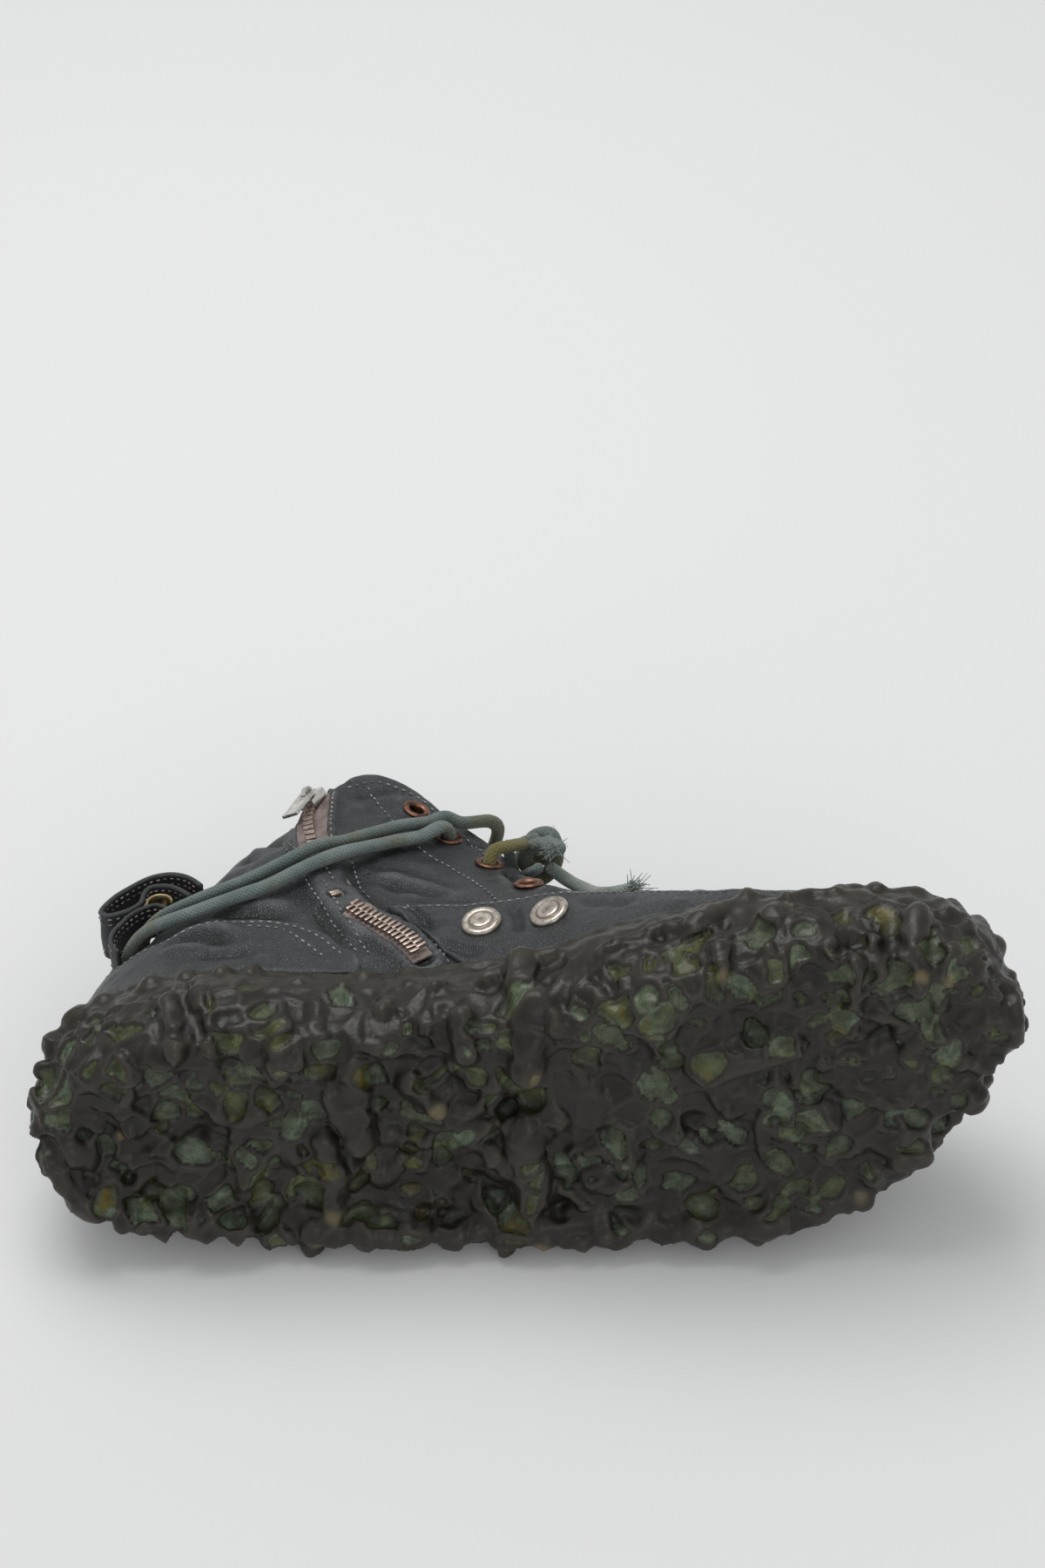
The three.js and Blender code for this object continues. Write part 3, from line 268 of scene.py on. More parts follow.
def smooth_path(points, step=None, count=None):
    """A smooth centripetal curve through points, evenly spaced."""
    points = np.asarray(points, float)
    ends = np.vstack([2 * points[0] - points[1], points, 2 * points[-1] - points[-2]])
    fine = []
    for a, b, c, d in zip(ends, ends[1:], ends[2:], ends[3:]):
        ta = 0.0
        tb = ta + max(np.linalg.norm(b - a), 1e-9) ** 0.5
        tc = tb + max(np.linalg.norm(c - b), 1e-9) ** 0.5
        td = tc + max(np.linalg.norm(d - c), 1e-9) ** 0.5
        s = np.linspace(tb, tc, 24, endpoint=False)[:, None]
        ab = (tb - s) / (tb - ta) * a + (s - ta) / (tb - ta) * b
        bc = (tc - s) / (tc - tb) * b + (s - tb) / (tc - tb) * c
        cd = (td - s) / (td - tc) * c + (s - tc) / (td - tc) * d
        abc = (tc - s) / (tc - ta) * ab + (s - ta) / (tc - ta) * bc
        bcd = (td - s) / (td - tb) * bc + (s - tb) / (td - tb) * cd
        fine.append((tc - s) / (tc - tb) * abc + (s - tb) / (tc - tb) * bcd)
    fine = np.vstack([*fine, points[-1:]])
    reach = np.concatenate([[0], np.cumsum(np.linalg.norm(np.diff(fine, axis=0), axis=1))])
    count = count or max(2, round(reach[-1] / step) + 1)
    at = np.linspace(0, reach[-1], count)
    return np.stack([np.interp(at, reach, fine[:, k]) for k in range(fine.shape[1])], -1)


# %% [markdown]
# ## Seeded noise on many places at once
# Wrinkles and lumps need repeatable chance. Whole-number cells are hashed to numbers from 0 to 1;
# haze blends them smoothly, and cells measures how near a place is to the border of a cell.

# %% Noise
def hashed(cell, seed):
    x, y, z = (cell[..., k].astype(np.int64) for k in range(3))
    mixed = (x * 73856093) ^ (y * 19349663) ^ (z * 83492791) ^ (seed * 40503)
    mixed = (mixed ^ (mixed >> 15)) * 2246822519
    mixed = (mixed ^ (mixed >> 13)) * 3266489917
    return ((mixed ^ (mixed >> 16)) & 0xFFFFFF) / 0xFFFFFF


def haze(points, size, seed=0):
    """Smooth noise from -1 to 1, with lumps of a given size."""
    p = np.asarray(points) / size
    low = np.floor(p)
    f = p - low
    f = f * f * (3 - 2 * f)
    total = np.zeros(p.shape[:-1])
    for corner in np.ndindex(2, 2, 2):
        weight = np.prod(np.where(np.array(corner) == 1, f, 1 - f), axis=-1)
        total += weight * hashed(low + corner, seed)
    return 2 * total - 1


def cells(points, size, seed=0):
    """Distances to the nearest and second nearest seed, in cell sizes, and the nearest one's number."""
    p = np.asarray(points) / size
    low = np.floor(p)
    first = np.full(p.shape[:-1], 9.0)
    second = first.copy()
    number = first.copy()
    for step in np.ndindex(3, 3, 3):
        cell = low + np.array(step) - 1
        spot = cell + np.stack([hashed(cell, seed + k) for k in (1, 2, 3)], -1)
        far = np.linalg.norm(p - spot, axis=-1)
        nearer = far < first
        second = np.where(nearer, first, np.minimum(second, far))
        number = np.where(nearer, hashed(cell, seed + 4), number)
        first = np.where(nearer, far, first)
    return first, second, number


# %% [markdown]
# ## Camera
# The photo looks down at the tread from 42 degrees above the floor, 4 degrees round to the heel's
# side, with a lens long enough to keep the sole's two ends nearly alike. The roll keeps the shoe's
# long axis level. One known place, a point of the waist, is held at its spot in the picture.

# %% Camera
PHOTO_WIDTH = 1200
PHOTO_HEIGHT = 1800
PX_PER_MM = 3.62
CAMERA_DISTANCE = 1.0
CAMERA_ROUND = math.radians(4)
CAMERA_UP = math.radians(42)
WAIST_PIXEL = (603, 1200)
SENSOR = 36

back = Vector((math.sin(CAMERA_ROUND) * math.cos(CAMERA_UP), -math.cos(CAMERA_ROUND) * math.cos(CAMERA_UP),
               math.sin(CAMERA_UP)))
right = (Vector((1, 0, 0)) - back * back.x).normalized()
upward = back.cross(right)
waist = Vector(place(154 * MM, 4 * MM, 40 * MM))
eye = (waist - right * (WAIST_PIXEL[0] - PHOTO_WIDTH / 2) / PX_PER_MM * MM
       + upward * (WAIST_PIXEL[1] - PHOTO_HEIGHT / 2) / PX_PER_MM * MM + back * CAMERA_DISTANCE)
FOCAL_PX = PX_PER_MM * CAMERA_DISTANCE / MM

camera = bpy.data.objects.new("camera", bpy.data.cameras.new("camera"))
camera.data.sensor_width = SENSOR
camera.data.lens = FOCAL_PX * SENSOR / PHOTO_HEIGHT
camera.data.clip_start = 0.05
camera.matrix_world = Matrix.Translation(eye) @ Matrix((right, upward, back)).transposed().to_4x4()
bpy.context.scene.collection.objects.link(camera)
bpy.context.scene.camera = camera


def sight(x, y):
    """Direction in which the camera sees a pixel of the photo."""
    return (-back * FOCAL_PX + right * (x - PHOTO_WIDTH / 2) + upward * (PHOTO_HEIGHT / 2 - y)).normalized()



# %% [markdown]
# ## Floor and light
# The photo is a plain product shot: one pale grey sweep and a large soft light. The sweep is a
# single plane, and a broad light overhead with a weaker one from the front keeps the shadow at the
# rubber's foot short and soft.

# %% Floor, light and sky
FLOOR_GREY = 0.80
bm = bmesh.new()
bmesh.ops.create_grid(bm, x_segments=2, y_segments=2, size=6)
floor_mesh = bpy.data.meshes.new("floor")
bm.to_mesh(floor_mesh)
bm.free()
floor = bpy.data.objects.new("floor", floor_mesh)
bpy.context.scene.collection.objects.link(floor)
paper = bpy.data.materials.new("grey_paper")
paper.use_nodes = True
paper.node_tree.nodes["Principled BSDF"].inputs["Base Color"].default_value = (FLOOR_GREY, FLOOR_GREY,
    FLOOR_GREY, 1)
paper.node_tree.nodes["Principled BSDF"].inputs["Roughness"].default_value = 0.9
paper.node_tree.nodes["Principled BSDF"].inputs["Specular IOR Level"].default_value = 0.0
floor_mesh.materials.append(paper)
floor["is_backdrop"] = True

SOFTBOXES = [   # name, place, size, watts
    ("light_above", (-0.25, 0.45, 1.5), 1.0, 12.5),
    ("light_front", (0.5, -1.5, 1.0), 1.0, 4.0),
]
for name, spot, size, watts in SOFTBOXES:
    lamp = bpy.data.objects.new(name, bpy.data.lights.new(name, "AREA"))
    lamp.data.size = size
    lamp.data.energy = watts
    lamp.location = spot
    lamp.rotation_mode = "QUATERNION"
    lamp.rotation_quaternion = (-Vector(spot)).to_track_quat("-Z", "Y")
    bpy.context.scene.collection.objects.link(lamp)
world = bpy.data.worlds.new("sky")
bpy.context.scene.world = world
world.use_nodes = True
world.node_tree.nodes["Background"].inputs["Color"].default_value = (0.9, 0.91, 0.92, 1)
world.node_tree.nodes["Background"].inputs["Strength"].default_value = 0.56
bpy.context.scene.view_settings.view_transform = "Standard"

# %% [markdown]
# ## Helpers for meshes
# Most pieces here are sheets or tubes. Each starts as a flat grid from bmesh, whose vertices are
# then moved to places worked out in arrays. Rows that come round to their start are welded.

# %% Mesh helpers
def to_object(name, bm, angle=None):
    mesh = bpy.data.meshes.new(name)
    bm.to_mesh(mesh)
    bm.free()
    mesh.shade_smooth()
    if angle is not None:
        mesh.set_sharp_from_angle(angle=math.radians(angle))
    piece = bpy.data.objects.new(name, mesh)
    bpy.context.scene.collection.objects.link(piece)
    return piece


def take_in(bm, part):
    """The part's faces go into bm, and the part itself goes."""
    bm.from_mesh(part.data)
    bpy.data.objects.remove(part)


def from_rows(name, rows, masks=None, weld=True, angle=None):
    """A sheet through rows of points, one grid vertex for each."""
    rows = np.asarray(rows, float)
    m, n = rows.shape[:2]
    bm = bmesh.new()
    bm.loops.layers.uv.new("run")
    bmesh.ops.create_grid(bm, x_segments=n - 1, y_segments=m - 1, size=1, calc_uvs=True)
    mesh = bpy.data.meshes.new(name)
    bm.to_mesh(mesh)
    bm.free()
    mesh.vertices.foreach_set("co", rows.reshape(-1).astype(np.float32))
    for mask, values in (masks or {}).items():
        layer = mesh.attributes.new(mask, "FLOAT", "POINT")
        layer.data.foreach_set("value", np.broadcast_to(values, (m, n)).reshape(-1).astype(np.float32))
    bm = bmesh.new()
    bm.from_mesh(mesh)
    bpy.data.meshes.remove(mesh)
    if weld:
        bmesh.ops.remove_doubles(bm, verts=bm.verts[:], dist=2e-6)
        bmesh.ops.dissolve_degenerate(bm, edges=bm.edges[:], dist=1e-7)
    bmesh.ops.recalc_face_normals(bm, faces=bm.faces[:])
    return to_object(name, bm, angle)


def tube_rows(path, radius, sides=12, squeeze=1.0, across=None):
    """Rings of points round a path, for a cord. radius is one number, one a step, or one a point."""
    path = np.asarray(path, float)
    run = unit(np.gradient(path, axis=0))
    side = np.zeros_like(path)
    start = np.cross(run[0], [0, 0, 1]) if across is None else np.asarray(across, float)
    side[0] = unit(start - run[0] * (start @ run[0]))
    for i in range(1, len(path)):
        carried = side[i - 1] - run[i] * (side[i - 1] @ run[i])
        side[i] = unit(carried)
    lift = np.cross(run, side)
    turn = np.linspace(0, 2 * math.pi, sides + 1)
    radius = np.broadcast_to(np.asarray(radius, float).reshape(-1, 1) if np.ndim(radius) == 1 else radius,
                             (len(path), sides + 1))
    return (path[:, None] + side[:, None] * (np.cos(turn) * radius)[..., None]
            + lift[:, None] * (np.sin(turn) * radius * squeeze)[..., None])


def closed_tube(rows):
    """Rings with both ends drawn in to a point, so that the tube has round closed ends."""
    first, last = rows[0].mean(0), rows[-1].mean(0)
    tip_a = first + (first - rows[1].mean(0)) * 0.5
    tip_b = last + (last - rows[-2].mean(0)) * 0.5
    size = np.linalg.norm(rows[0][0] - first)
    ends_a = [first + (rows[0] - first) * k + unit(tip_a - first) * size * up for k,
              up in ((0, .5), (.6, .42))]
    ends_b = [last + (rows[-1] - last) * k + unit(tip_b - last) * size * up for k, up in ((.6, .42), (0, .5))]
    return np.concatenate([ends_a, rows, ends_b])


def spun(name, profile, frames, angle=40, steps=40):
    """Turned pieces: a profile of (radius, height) spun round each frame's third axis, all in one mesh."""
    whole = bmesh.new()
    for turned in frames:
        bm = bmesh.new()
        line = [bm.verts.new((r, 0, h)) for r, h in profile]
        edges = [bm.edges.new(pair) for pair in zip(line, line[1:])]
        bmesh.ops.spin(bm, geom=line + edges, cent=(0, 0, 0), axis=(0, 0, 1), angle=2 * math.pi, steps=steps,
                       use_merge=True, use_duplicate=False)
        bmesh.ops.remove_doubles(bm, verts=bm.verts[:], dist=1e-6)
        bmesh.ops.recalc_face_normals(bm, faces=bm.faces[:])
        bmesh.ops.transform(bm, matrix=turned, verts=bm.verts[:])
        copy = bpy.data.meshes.new("turned")
        bm.to_mesh(copy)
        bm.free()
        whole.from_mesh(copy)
        bpy.data.meshes.remove(copy)
    return to_object(name, whole, angle)


def seat(q, t, lift, heading=(1, 0)):
    """A frame on the leather: x towards a heading in q and t, z out of it."""
    z = skin_out(q, t)
    e = 0.02
    ahead = skin(q + heading[0] * e, t + heading[1] * e) - skin(q - heading[0] * e, t - heading[1] * e)
    x = unit(ahead - z * (ahead @ z))
    y = np.cross(z, x)
    spot = over(q, t, lift)
    return Matrix.Translation(spot) @ Matrix(np.stack([x, y, z], 1).tolist()).to_4x4()


def dress(piece, material, slot, *nodes, body="shoe"):
    """Material, body and what the piece stands for. The slot is not used."""
    piece.data.materials.clear()
    piece.data.materials.append(material)
    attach(piece, body)
    if nodes:
        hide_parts(*nodes)
    return piece


# %% [markdown]
# ## Shared finishes
# Leather, rubber, cloth and metal each need a few of the same effects: cloudy colour, a fine grain,
# dust or wear. They are built once as node groups, which put out masks and heights only, and each
# material gives them its own values.

# %% Node helpers
def add_node(tree, kind, links=None, **settings):
    """One shader node. links gives each input a value or an output of another node."""
    made = tree.nodes.new(kind)
    for key, value in settings.items():
        setattr(made, key, value)
    for key, value in (links or {}).items():
        socket = made.inputs[key]
        if isinstance(value, bpy.types.NodeSocket):
            tree.links.new(value, socket)
        else:
            socket.default_value = value
    return made


def new_group(name, inputs, outputs):
    group = bpy.data.node_groups.new(name, "ShaderNodeTree")
    for label, kind, value in inputs:
        made = group.interface.new_socket(label, in_out="INPUT", socket_type=kind)
        if value is not None:
            made.default_value = value
    for label, kind in outputs:
        group.interface.new_socket(label, in_out="OUTPUT", socket_type=kind)
    return group, group.nodes.new("NodeGroupInput"), group.nodes.new("NodeGroupOutput")


def clouds_group():
    """Soft clouds of colour: a mask from 0 to 1."""
    group, given, out = new_group("clouds", [
        ("Place", "NodeSocketVector", None), ("Scale", "NodeSocketFloat", 40.0),
        ("Low", "NodeSocketFloat", 0.4), ("High", "NodeSocketFloat", 0.6)], [("Mask", "NodeSocketFloat")])
    cloud = add_node(group, "ShaderNodeTexNoise", {
        "Vector": given.outputs["Place"], "Scale": given.outputs["Scale"], "Detail": 5.0, "Roughness": 0.6})
    step = add_node(group, "ShaderNodeMapRange", {
        "Value": cloud.outputs["Fac"], "From Min": given.outputs["Low"], "From Max": given.outputs["High"]})
    group.links.new(step.outputs["Result"], out.inputs["Mask"])
    return group


def grain_group():
    """Hide grain: small pebbles with soft valleys, over faint wrinkles."""
    group, given, out = new_group("grain", [
        ("Place", "NodeSocketVector", None), ("Scale", "NodeSocketFloat", 900.0),
        ("Wrinkle Scale", "NodeSocketFloat", 160.0), ("Wrinkles", "NodeSocketFloat", 1.0)],
        [("Height", "NodeSocketFloat")])
    cells = add_node(group, "ShaderNodeTexVoronoi", {
        "Vector": given.outputs["Place"], "Scale": given.outputs["Scale"]}, feature="DISTANCE_TO_EDGE")
    pebble = add_node(group, "ShaderNodeMapRange", {
        "Value": cells.outputs["Distance"], "From Min": 0.0, "From Max": 0.22, "To Min": 0.0, "To Max": 0.35})
    wrinkle = add_node(group, "ShaderNodeTexNoise", {
        "Vector": given.outputs["Place"], "Scale": given.outputs["Wrinkle Scale"], "Detail": 6.0,
        "Roughness": 0.62, "Distortion": 0.6})
    strength = add_node(group, "ShaderNodeMath", {
        0: wrinkle.outputs["Fac"], 1: given.outputs["Wrinkles"]}, operation="MULTIPLY")
    total = add_node(group, "ShaderNodeMath", {
        0: strength.outputs[0], 1: pebble.outputs["Result"]}, operation="ADD")
    group.links.new(total.outputs[0], out.inputs["Height"])
    return group


def weave_group():
    """Plain weave on a run of cloth: threads across and along, one over the other."""
    group, given, out = new_group("weave", [
        ("Run", "NodeSocketVector", None), ("Across", "NodeSocketFloat", 30.0),
        ("Along", "NodeSocketFloat", 200.0)], [("Height", "NodeSocketFloat")])
    parts = add_node(group, "ShaderNodeSeparateXYZ", {"Vector": given.outputs["Run"]})
    waves = []
    for axis, count in (("X", "Across"), ("Y", "Along")):
        turns = add_node(group, "ShaderNodeMath", {0: parts.outputs[axis], 1: given.outputs[count]},
                         operation="MULTIPLY")
        full = add_node(group, "ShaderNodeMath", {0: turns.outputs[0], 1: math.pi}, operation="MULTIPLY")
        waves.append(add_node(group, "ShaderNodeMath", {0: full.outputs[0]}, operation="SINE"))
    crossed = add_node(group, "ShaderNodeMath", {0: waves[0].outputs[0], 1: waves[1].outputs[0]},
                       operation="MULTIPLY")
    height = add_node(group, "ShaderNodeMapRange", {"Value": crossed.outputs[0], "From Min": -1.0})
    group.links.new(height.outputs["Result"], out.inputs["Height"])
    return group


CLOUDS = clouds_group()
GRAIN = grain_group()
WEAVE = weave_group()


def use_group(tree, group, links):
    made = tree.nodes.new("ShaderNodeGroup")
    made.node_tree = group
    for key, value in links.items():
        if isinstance(value, bpy.types.NodeSocket):
            tree.links.new(value, made.inputs[key])
        else:
            made.inputs[key].default_value = value
    return made.outputs[0]


def new_material(name, roughness, **shader):
    material = bpy.data.materials.new(name)
    material.use_nodes = True
    tree = material.node_tree
    surface = tree.nodes["Principled BSDF"]
    surface.inputs["Roughness"].default_value = roughness
    for key, value in shader.items():
        surface.inputs[key.replace("_", " ")].default_value = value
    spots = tree.nodes.new("ShaderNodeTexCoord").outputs["Object"]
    return material, tree, surface, spots


def mix_colour(tree, mask, a, b):
    made = tree.nodes.new("ShaderNodeMix")
    made.data_type = "RGBA"
    for socket, value in ((made.inputs[0], mask), (made.inputs[6], a), (made.inputs[7], b)):
        if isinstance(value, bpy.types.NodeSocket):
            tree.links.new(value, socket)
        elif socket == made.inputs[0]:
            socket.default_value = value
        else:
            socket.default_value = (*value, 1)
    return made.outputs[2]


def ramp(tree, value, low, high, to_low=0.0, to_high=1.0):
    return add_node(tree, "ShaderNodeMapRange", {
        "Value": value, "From Min": low, "From Max": high, "To Min": to_low,
        "To Max": to_high}).outputs["Result"]


def mask_of(tree, name):
    return add_node(tree, "ShaderNodeAttribute", attribute_name=name).outputs["Fac"]


def bump(tree, surface, height, strength, distance):
    made = add_node(tree, "ShaderNodeBump", {"Height": height, "Strength": strength, "Distance": distance})
    tree.links.new(made.outputs["Normal"], surface.inputs["Normal"])


# %% [markdown]
# ## Leather, as a finish
# The hide is dyed nearly black with a blue cast, washed and worn: it is paler on every ridge and
# cloudy all over, and painted shade darkens it in the troughs. The mesh carries a mask of how far
# each place is raised above its neighbours, and the colour reads it.

# %% Leather material
def leather_material(name, dark, mid, pale, roughness=0.55):
    material, tree, surface, spots = new_material(name, roughness, Specular_IOR_Level=0.55)
    cloud = use_group(tree, CLOUDS, {"Place": spots, "Scale": 28.0, "Low": 0.32, "High": 0.7})
    fine = use_group(tree, CLOUDS, {"Place": spots, "Scale": 170.0, "Low": 0.45, "High": 0.75})
    base = mix_colour(tree, cloud, dark, mid)
    raised = ramp(tree, mask_of(tree, "raised"), 0.52, 0.95)
    rubbed = add_node(tree, "ShaderNodeMath", {0: raised, 1: ramp(tree, fine, 0, 1, 0.5, 1.0)},
                      operation="MULTIPLY")
    worn = mix_colour(tree, rubbed.outputs[0], base, pale)
    # Painted shade: where the raised mask is low, in the troughs, the colour is darkened towards 0.45 of the
    # dark colour.
    sunk = ramp(tree, mask_of(tree, "raised"), 0.45, 0.1)
    tree.links.new(mix_colour(tree, sunk, worn, tuple(c * 0.45 for c in dark)), surface.inputs["Base Color"])
    tree.links.new(ramp(tree, cloud, 0, 1, roughness - 0.07, roughness + 0.09), surface.inputs["Roughness"])
    height = use_group(tree, GRAIN, {"Place": spots, "Scale": 1100.0, "Wrinkle Scale": 210.0,
        "Wrinkles": 1.3})
    bump(tree, surface, height, 0.7, 0.0005)
    return material


hide = leather_material("washed_hide", (0.0145, 0.016, 0.0175), (0.027, 0.030, 0.032),
                        (0.095, 0.102, 0.104), 0.42)
strap_hide = leather_material("strap_hide", (0.010, 0.011, 0.012), (0.020, 0.022, 0.024),
    (0.06, 0.063, 0.065))

# %% [markdown]
# ## Rubber, as a finish
# The sole looks as if it was dipped: thick dark rubber, satin where it ran down smooth, with thin
# places between the strands where a greener layer shows, from teal to olive and a little amber at
# the heel. Tips of drips are rubbed to a pale yellow, and painted shade darkens the hollows. Masks
# on the mesh say which place is which.

# %% Rubber material
def rubber_material():
    material, tree, surface, spots = new_material("dipped_rubber", 0.4, Specular_IOR_Level=0.38)
    cloud = use_group(tree, CLOUDS, {"Place": spots, "Scale": 45.0, "Low": 0.35, "High": 0.68})
    fine = use_group(tree, CLOUDS, {"Place": spots, "Scale": 320.0, "Low": 0.38, "High": 0.7})
    body = mix_colour(tree, cloud, (0.0090, 0.0076, 0.0058), (0.0200, 0.0175, 0.0130))
    raised = ramp(tree, mask_of(tree, "raised"), 0.5, 0.95)
    body = mix_colour(tree, raised, body, (0.040, 0.034, 0.025))
    film = mix_colour(tree, ramp(tree, mask_of(tree, "film"), 0, 1, 0, 0.35), body, (0.036, 0.034, 0.020))
    tone = mask_of(tree, "tone")
    green = mix_colour(tree, ramp(tree, tone, 0.15, 0.55), (0.120, 0.158, 0.105), (0.090, 0.106, 0.038))
    green = mix_colour(tree, ramp(tree, tone, 0.6, 1.0), green, (0.105, 0.078, 0.004))
    green = mix_colour(tree, fine, green, (0.045, 0.055, 0.030))
    veins = add_node(tree, "ShaderNodeTexVoronoi", {"Vector": spots, "Scale": 260.0},
                     feature="DISTANCE_TO_EDGE")
    thread = ramp(tree, veins.outputs["Distance"], 0.0, 0.07, 0.45, 0.0)
    green = mix_colour(tree, thread, green, (0.030, 0.034, 0.022))
    seen = ramp(tree, mask_of(tree, "thin"), 0.3, 0.7)
    colour = mix_colour(tree, seen, film, green)
    colour = mix_colour(tree, mask_of(tree, "tip"), colour, (0.30, 0.24, 0.11))
    # Painted shade: where the raised mask is low, in the hollows, the colour is darkened towards near black.
    sunk = ramp(tree, mask_of(tree, "raised"), 0.42, 0.05, 0.0, 0.85)
    colour = mix_colour(tree, sunk, colour, (0.006, 0.005, 0.004))
    tree.links.new(colour, surface.inputs["Base Color"])
    tree.links.new(ramp(tree, fine, 0, 1, 0.34, 0.5), surface.inputs["Roughness"])
    skinned = add_node(tree, "ShaderNodeTexNoise", {
        "Vector": spots, "Scale": 420.0, "Detail": 4.0, "Roughness": 0.55})
    bump(tree, surface, skinned.outputs["Fac"], 0.35, 0.0006)
    return material


rubber = rubber_material()

# %% [markdown]
# ## The rubber sole, its body
# A sole like this could be sculpted by hand. Here it is grown: a smooth body is lofted through the
# same rings as the frame, strands and lumps of rubber are laid on it, and one voxel remesh melts
# them all together, as the dipping did.

# %% Rings of the sole
SOLE_RINGS = np.array([   # middle, inset, up, swell
    [1.00, 0.70, TREAD_HEIGHT / SOLE_HEIGHT, 1],
    [0.82, 0.70, TREAD_HEIGHT / SOLE_HEIGHT, 1],
    [0.55, 0.70, TREAD_HEIGHT / SOLE_HEIGHT, 1],
    [0.30, 0.70, (TREAD_HEIGHT - 1 * MM) / SOLE_HEIGHT, 1],
    [0.10, 0.70, (TREAD_HEIGHT - 2 * MM) / SOLE_HEIGHT, 1],
    [0.00, 0.62, 0.17, 1],
    [0.00, 0.22, 0.32, 1],
    [0.00, 0.02, 0.50, 1],
    [0.00, 0.06, 0.70, 1],
    [0.00, 0.20, 0.88, 0.6],
    [0.00, 0.55, 1.00, 0],
    [0.00, 0.88, 1.00, 0],
    [0.00, 1.00, (SOLE_HEIGHT - 1 * MM) / SOLE_HEIGHT, 0],
    [0.00, 1.00, BED_HEIGHT / SOLE_HEIGHT, 0],
    [0.50, 1.00, BED_HEIGHT / SOLE_HEIGHT, 0],
    [1.00, 1.00, BED_HEIGHT / SOLE_HEIGHT, 0],
])
RIM_TOP_ROW = 11.5      # past this row the rings lie inside the rim
SMOOTH_STEPS = 6


def sole_rows():
    """Rows of the smooth body, with the swell that each may take."""
    at = np.linspace(0, len(SOLE_RINGS) - 1, (len(SOLE_RINGS) - 1) * SMOOTH_STEPS + 1)
    middle, inset, up, swell = (np.interp(at, np.arange(len(SOLE_RINGS)), SOLE_RINGS[:, k]) for k in range(4))
    around = np.linspace(0, RIB_COUNT, 10 * RIB_COUNT + 1)
    q = np.broadcast_to(around, (len(at), len(around)))
    point, _ = outline(q, (inset * RIM_WALL)[:, None] * np.ones_like(q), middle[:, None] * np.ones_like(q))
    low = np.clip((0.24 - up) / 0.08, 0, 1)[:, None]
    height = up[:, None] * SOLE_HEIGHT + toe_rise(point[..., 0]) + low * arch_rise(point[..., 0])
    return place(point[..., 0], point[..., 1], height), at, swell


def swell_at(along, inward, up):
    along, inward, up = along / MM, inward / MM, up / MM
    return (np.sin(along / 9.5 + 1.7 * np.sin(inward / 13)) * np.cos(inward / 8.5 + up / 11)
            + 0.6 * np.sin(along / 5.3 + inward / 7 + up / 6))


def shoe_place(points):
    """Back from the frame's places to along, inward and up."""
    p = np.asarray(points) - ORIGIN
    return (p[..., 0], p[..., 2] * math.cos(LEAN) + p[..., 1] * math.sin(LEAN),
            p[..., 1] * math.cos(LEAN) - p[..., 2] * math.sin(LEAN))


body_rows, body_at, body_swell = sole_rows()
run = np.gradient(body_rows, axis=1)
rise = np.gradient(body_rows, axis=0)
body_out = unit(np.cross(run, rise))
swollen = body_swell[:, None] * LUMP * swell_at(*shoe_place(body_rows))
body_rows = body_rows + body_out * swollen[..., None]
core = from_rows("sole_core", body_rows)
core_tree = BVHTree.FromObject(core, bpy.context.evaluated_depsgraph_get())


def on_rubber(x, y):
    """Where the camera's sight through a photo pixel meets the smooth body, and the way out of it."""
    spot, out, _, _ = core_tree.ray_cast(eye, sight(x, y))
    if spot is None:      # a lump that stands out past the body's edge
        near, out, _, _ = core_tree.find_nearest(eye + sight(x, y) * (waist - eye).length)
        aim = sight(x, y)
        spot = near.lerp(eye + aim * (near - eye).dot(aim), 0.7)
        spot.z = max(spot.z, 3 * MM)
    if out.dot(sight(x, y)) > 0:
        out = -out
    return spot, out
